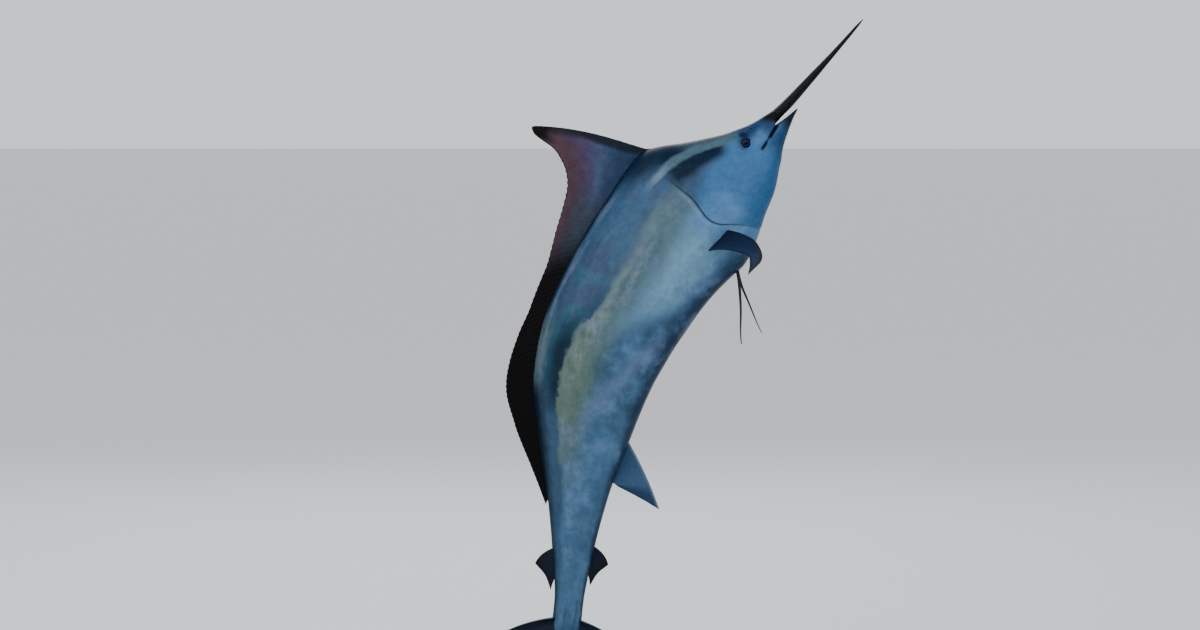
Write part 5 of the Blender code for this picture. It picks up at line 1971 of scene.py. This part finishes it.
@dataclass
class Stand:
    """The flat base and the two rods."""

    size: Triple = (1.36, 1.10, 0.060)
    corner: float = 0.10
    corner_faces: int = 14
    bevel: float = 0.008
    bevel_faces: int = 4
    groove: Pair = (0.022, 0.003)  # in from the rim; its width and depth
    tail_rod: float = 0.015
    flank_rod: float = 0.019
    flank_foot: Pair = (-0.405, 0.440)
    flank_at: float = 0.70
    tail_rod_depth: float = 0.085
    rod_sides: int = 48
    flange: Pair = (0.046, 0.007)
    flange_sides: int = 64
    flange_round: float = 0.002
    flange_faces: int = 3
    screws: int = 4
    screw_faces: tuple[int, int] = (20, 10)  # round it, and from pole to pole
    screw: Pair = (0.0045, 0.45)  # radius, and how high it stands as a share of it
    screw_circle: float = 0.78  # as a share of the flange's radius
    sharp: float = math.radians(35)

    def build_base(self, material: Material) -> None:
        """Makes the base, with round corners, a soft rim and a thin groove inlaid round its top.

        Args:
            material: Its finish.
        """
        shell = Shell()
        mesh, height = shell.mesh, self.size[2]
        bmesh.ops.create_cube(mesh, size=1.0)
        bmesh.ops.scale(mesh, vec=self.size, verts=mesh.verts)
        bmesh.ops.translate(mesh, vec=(0.0, 0.0, height / 2), verts=mesh.verts)
        upright = [edge for edge in mesh.edges if edge.verts[0].co.z != edge.verts[1].co.z]
        shell.round_off(upright, self.corner, self.corner_faces)
        top = max(mesh.faces, key=lambda face: face.calc_center_median().z)
        inward, wide = self.groove
        for thickness, depth in ((inward, 0.0), (wide, -wide), (wide, wide)):
            bmesh.ops.inset_region(mesh, faces=[top], thickness=thickness, depth=depth)
        walls = {edge for face in mesh.faces if abs(face.normal.z) < 0.1 for edge in face.edges}
        high = {vert for vert in mesh.verts if vert.co.z > height / 2}
        rim = [edge for edge in mesh.edges if edge in walls and set(edge.verts) <= high]
        shell.round_off(rim, self.bevel, self.bevel_faces)
        shell.place("plinth", material, "base", ("stand_base",), 0)

    def build_rod(
        self, name: str, node: str, foot: np.ndarray, head: np.ndarray, radius: float, material: Material
    ) -> None:
        """Makes a rod with a round flange at its foot, held by screws.

        Args:
            name: The piece's name.
            node: The solid that it stands for.
            foot: Where it stands.
            head: Where it ends, inside the fish.
            radius: Its radius.
            material: Its finish.
        """
        axis = Vector((head - foot).tolist())
        shell = Shell()
        mesh = shell.mesh
        rod = shell.cylinder(radius, axis.length, self.rod_sides)
        bmesh.ops.transform(mesh, matrix=axis.to_track_quat("Z", "Y").to_matrix().to_4x4(), verts=rod)
        wide, thick = self.flange
        top = {vert for vert in shell.cylinder(wide, thick, self.flange_sides) if vert.co.z > thick / 2}
        rim = [edge for edge in mesh.edges if set(edge.verts) <= top]
        shell.round_off(rim, self.flange_round, self.flange_faces)
        size, flat = self.screw
        out = self.screw_circle * wide
        around, levels = self.screw_faces
        ball = {"u_segments": around, "v_segments": levels, "radius": size}
        for k in range(self.screws):
            turn = math.tau * (k + 0.5) / self.screws
            screw = bmesh.ops.create_uvsphere(mesh, **ball)["verts"]
            bmesh.ops.scale(mesh, vec=(1.0, 1.0, flat), verts=screw)
            bmesh.ops.translate(mesh, vec=(out * math.cos(turn), out * math.sin(turn), thick), verts=screw)
        bmesh.ops.translate(mesh, vec=foot.tolist(), verts=mesh.verts)
        made = shell.place(name, material, "rod", (node,), 0)
        made.data.set_sharp_from_angle(angle=self.sharp)

    def build(self) -> None:
        """Makes the base and both rods."""
        self.build_base(WoodFinish().dress())
        steel = SteelFinish().dress()
        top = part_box("stand_base")[1].z
        root = SPINE.axes(STOCK_END)[0][0]
        foot = np.array([root[0], root[1], top])
        head = root + [0.0, 0.0, self.tail_rod_depth]
        self.build_rod("rod_tail", "stand_rod_tail", foot, head, self.tail_rod, steel)
        foot = np.array([*self.flank_foot, top])
        aim = SPINE.axes(self.flank_at * SPINE.length)[0][0]
        head = foot + (aim - foot) * (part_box("stand_rod_flank")[1].z - top) / (aim[2] - top)
        self.build_rod("rod_flank", "stand_rod_flank", foot, head, self.flank_rod, steel)


@dataclass(frozen=True)
class Lamp:
    """A soft square light."""

    name: str
    place: Triple
    size: float
    power: float
    tone: Triple = (1.0, 1.0, 1.0)

    def build(self, aim: Triple) -> None:
        """Adds the light.

        Args:
            aim: The place that it points at.
        """
        data = bpy.data.lights.new(self.name, "AREA")
        data.shape, data.size = "SQUARE", self.size
        data.energy, data.color = self.power, self.tone
        lamp = add_object(self.name, data)
        lamp.location = self.place
        lamp.visible_camera = False
        lamp.rotation_mode = "QUATERNION"
        lamp.rotation_quaternion = (Vector(aim) - Vector(self.place)).to_track_quat("-Z", "Y")


@dataclass
class Studio:
    """Floor, light and camera."""

    floor_half: float = 6000.0
    floor_tiles: int = 8
    sky: Colour = "e9ebef"
    sky_strength: float = 1.18
    lamps: tuple[Lamp, ...] = (
        Lamp("key", (-6.0, -10.0, 9.0), 14.0, 1500.0, (1.0, 0.99, 0.97)),
        Lamp("fill", (9.0, -8.0, 5.0), 8.0, 120.0, (0.9, 0.95, 1.0)),
        Lamp("back", (-1.0, 10.0, 9.0), 9.0, 600.0),
    )
    lit_place: Triple = (0.0, 0.0, 2.0)
    camera_place: Triple = (-0.2, -16.0, 2.965)
    pitch: float = math.radians(3.0)  # downwards
    lens: float = 96.0
    sensor: float = 36.0
    clip: Pair = (0.1, 20000.0)

    def build(self) -> None:
        """Sets the scene."""
        shell = Shell()
        tiles = self.floor_tiles
        bmesh.ops.create_grid(shell.mesh, x_segments=tiles, y_segments=tiles, size=self.floor_half)
        floor = shell.finish("floor", FloorFinish().dress())

        world = bpy.data.worlds.new("studio")
        world.use_nodes = True
        background = world.node_tree.nodes["Background"]
        background.inputs["Color"].default_value = (*shade(self.sky), 1.0)
        background.inputs["Strength"].default_value = self.sky_strength
        bpy.context.scene.world = world
        for lamp in self.lamps:
            lamp.build(self.lit_place)

        data = bpy.data.cameras.new("camera")
        data.lens, data.sensor_width = self.lens, self.sensor
        data.clip_start, data.clip_end = self.clip
        camera = add_object("camera", data)
        camera.location = self.camera_place
        camera.rotation_euler = (math.pi / 2 - self.pitch, 0.0, 0.0)
        bpy.context.scene.camera = camera


PELVIC_RIGHT = (
    (0.742, -0.352, 0.022),
    (0.812, -0.433, 0.030),
    (0.964, -0.541, 0.040),
    (1.230, -0.643, 0.050),
)
PELVIC_LEFT = (
    (0.742, -0.352, -0.022),
    (0.816, -0.454, -0.030),
    (0.886, -0.564, -0.040),
    (1.012, -0.709, -0.050),
)


def build_small_fins() -> None:
    """Makes the second dorsal fin, both anal fins, the paired fins and the tail fin."""
    dark = FinFinish("small_fin", 18.0)
    # the anal fin's front colour, the last and palest, is a painted highlight along its leading edge
    anal = ("284462", "34506f", "1e344d", "122236", "4d6680")
    blue = FinFinish("anal_fin", 24.0, *anal, edge_span=(0.93, 1.0))
    sail = FinFinish("pectoral_fin", 22.0, "0a0f28", "0a1a36", "0d2240")
    whip = FinFinish("pelvic_fin", 3.0, "07080c", "191d25", "3a424c", "454e58", "14171d")
    crescent = FinFinish("tail_fin", 27.0, "182436", "131c2c", "0f1622")
    shape = {"root": (2.610, 2.745), "peak": (2.706, 0.094), "rear": (2.835, 0.020)}
    MedianFin(name="second_dorsal", side=1, **shape).build(dark.dress())
    shape = {"root": (2.012, 2.236), "peak": (2.354, 0.270), "rear": (2.262, 0.030)}
    shape |= {"rays": 20, "rows": 20, "blade": THICK_BLADE, "bow": (-0.03, 0.04)}
    MedianFin(name="anal", slot="anal_fin", **shape).build(blue.dress())
    shape = {"root": (2.575, 2.705), "peak": (2.668, 0.088), "rear": (2.790, 0.018)}
    MedianFin(name="second_anal", **shape).build(dark.dress())
    for side in Side:
        Pectoral(side=side).build(sail.dress())
    Pelvic(side=Side.RIGHT, places=PELVIC_RIGHT).build(whip.dress())
    Pelvic(side=Side.LEFT, places=PELVIC_LEFT).build(whip.dress())
    tail = crescent.dress()
    for side in (1, -1):
        TailLobe(side=side).build(tail)


def main() -> None:
    """Builds the dressed model and its studio."""
    logging.basicConfig(level=logging.INFO, format="%(message)s")
    Skin().build(SkinFinish().dress())
    Bill().build(BillFinish().dress())
    eye = EyeFinish().dress()
    for side in Side:
        Eyeball(side).build(eye)
    FirstDorsal().build(DorsalFinish().dress())
    build_small_fins()
    Stand().build()
    Studio().build()


if __name__ == "__main__":
    main()
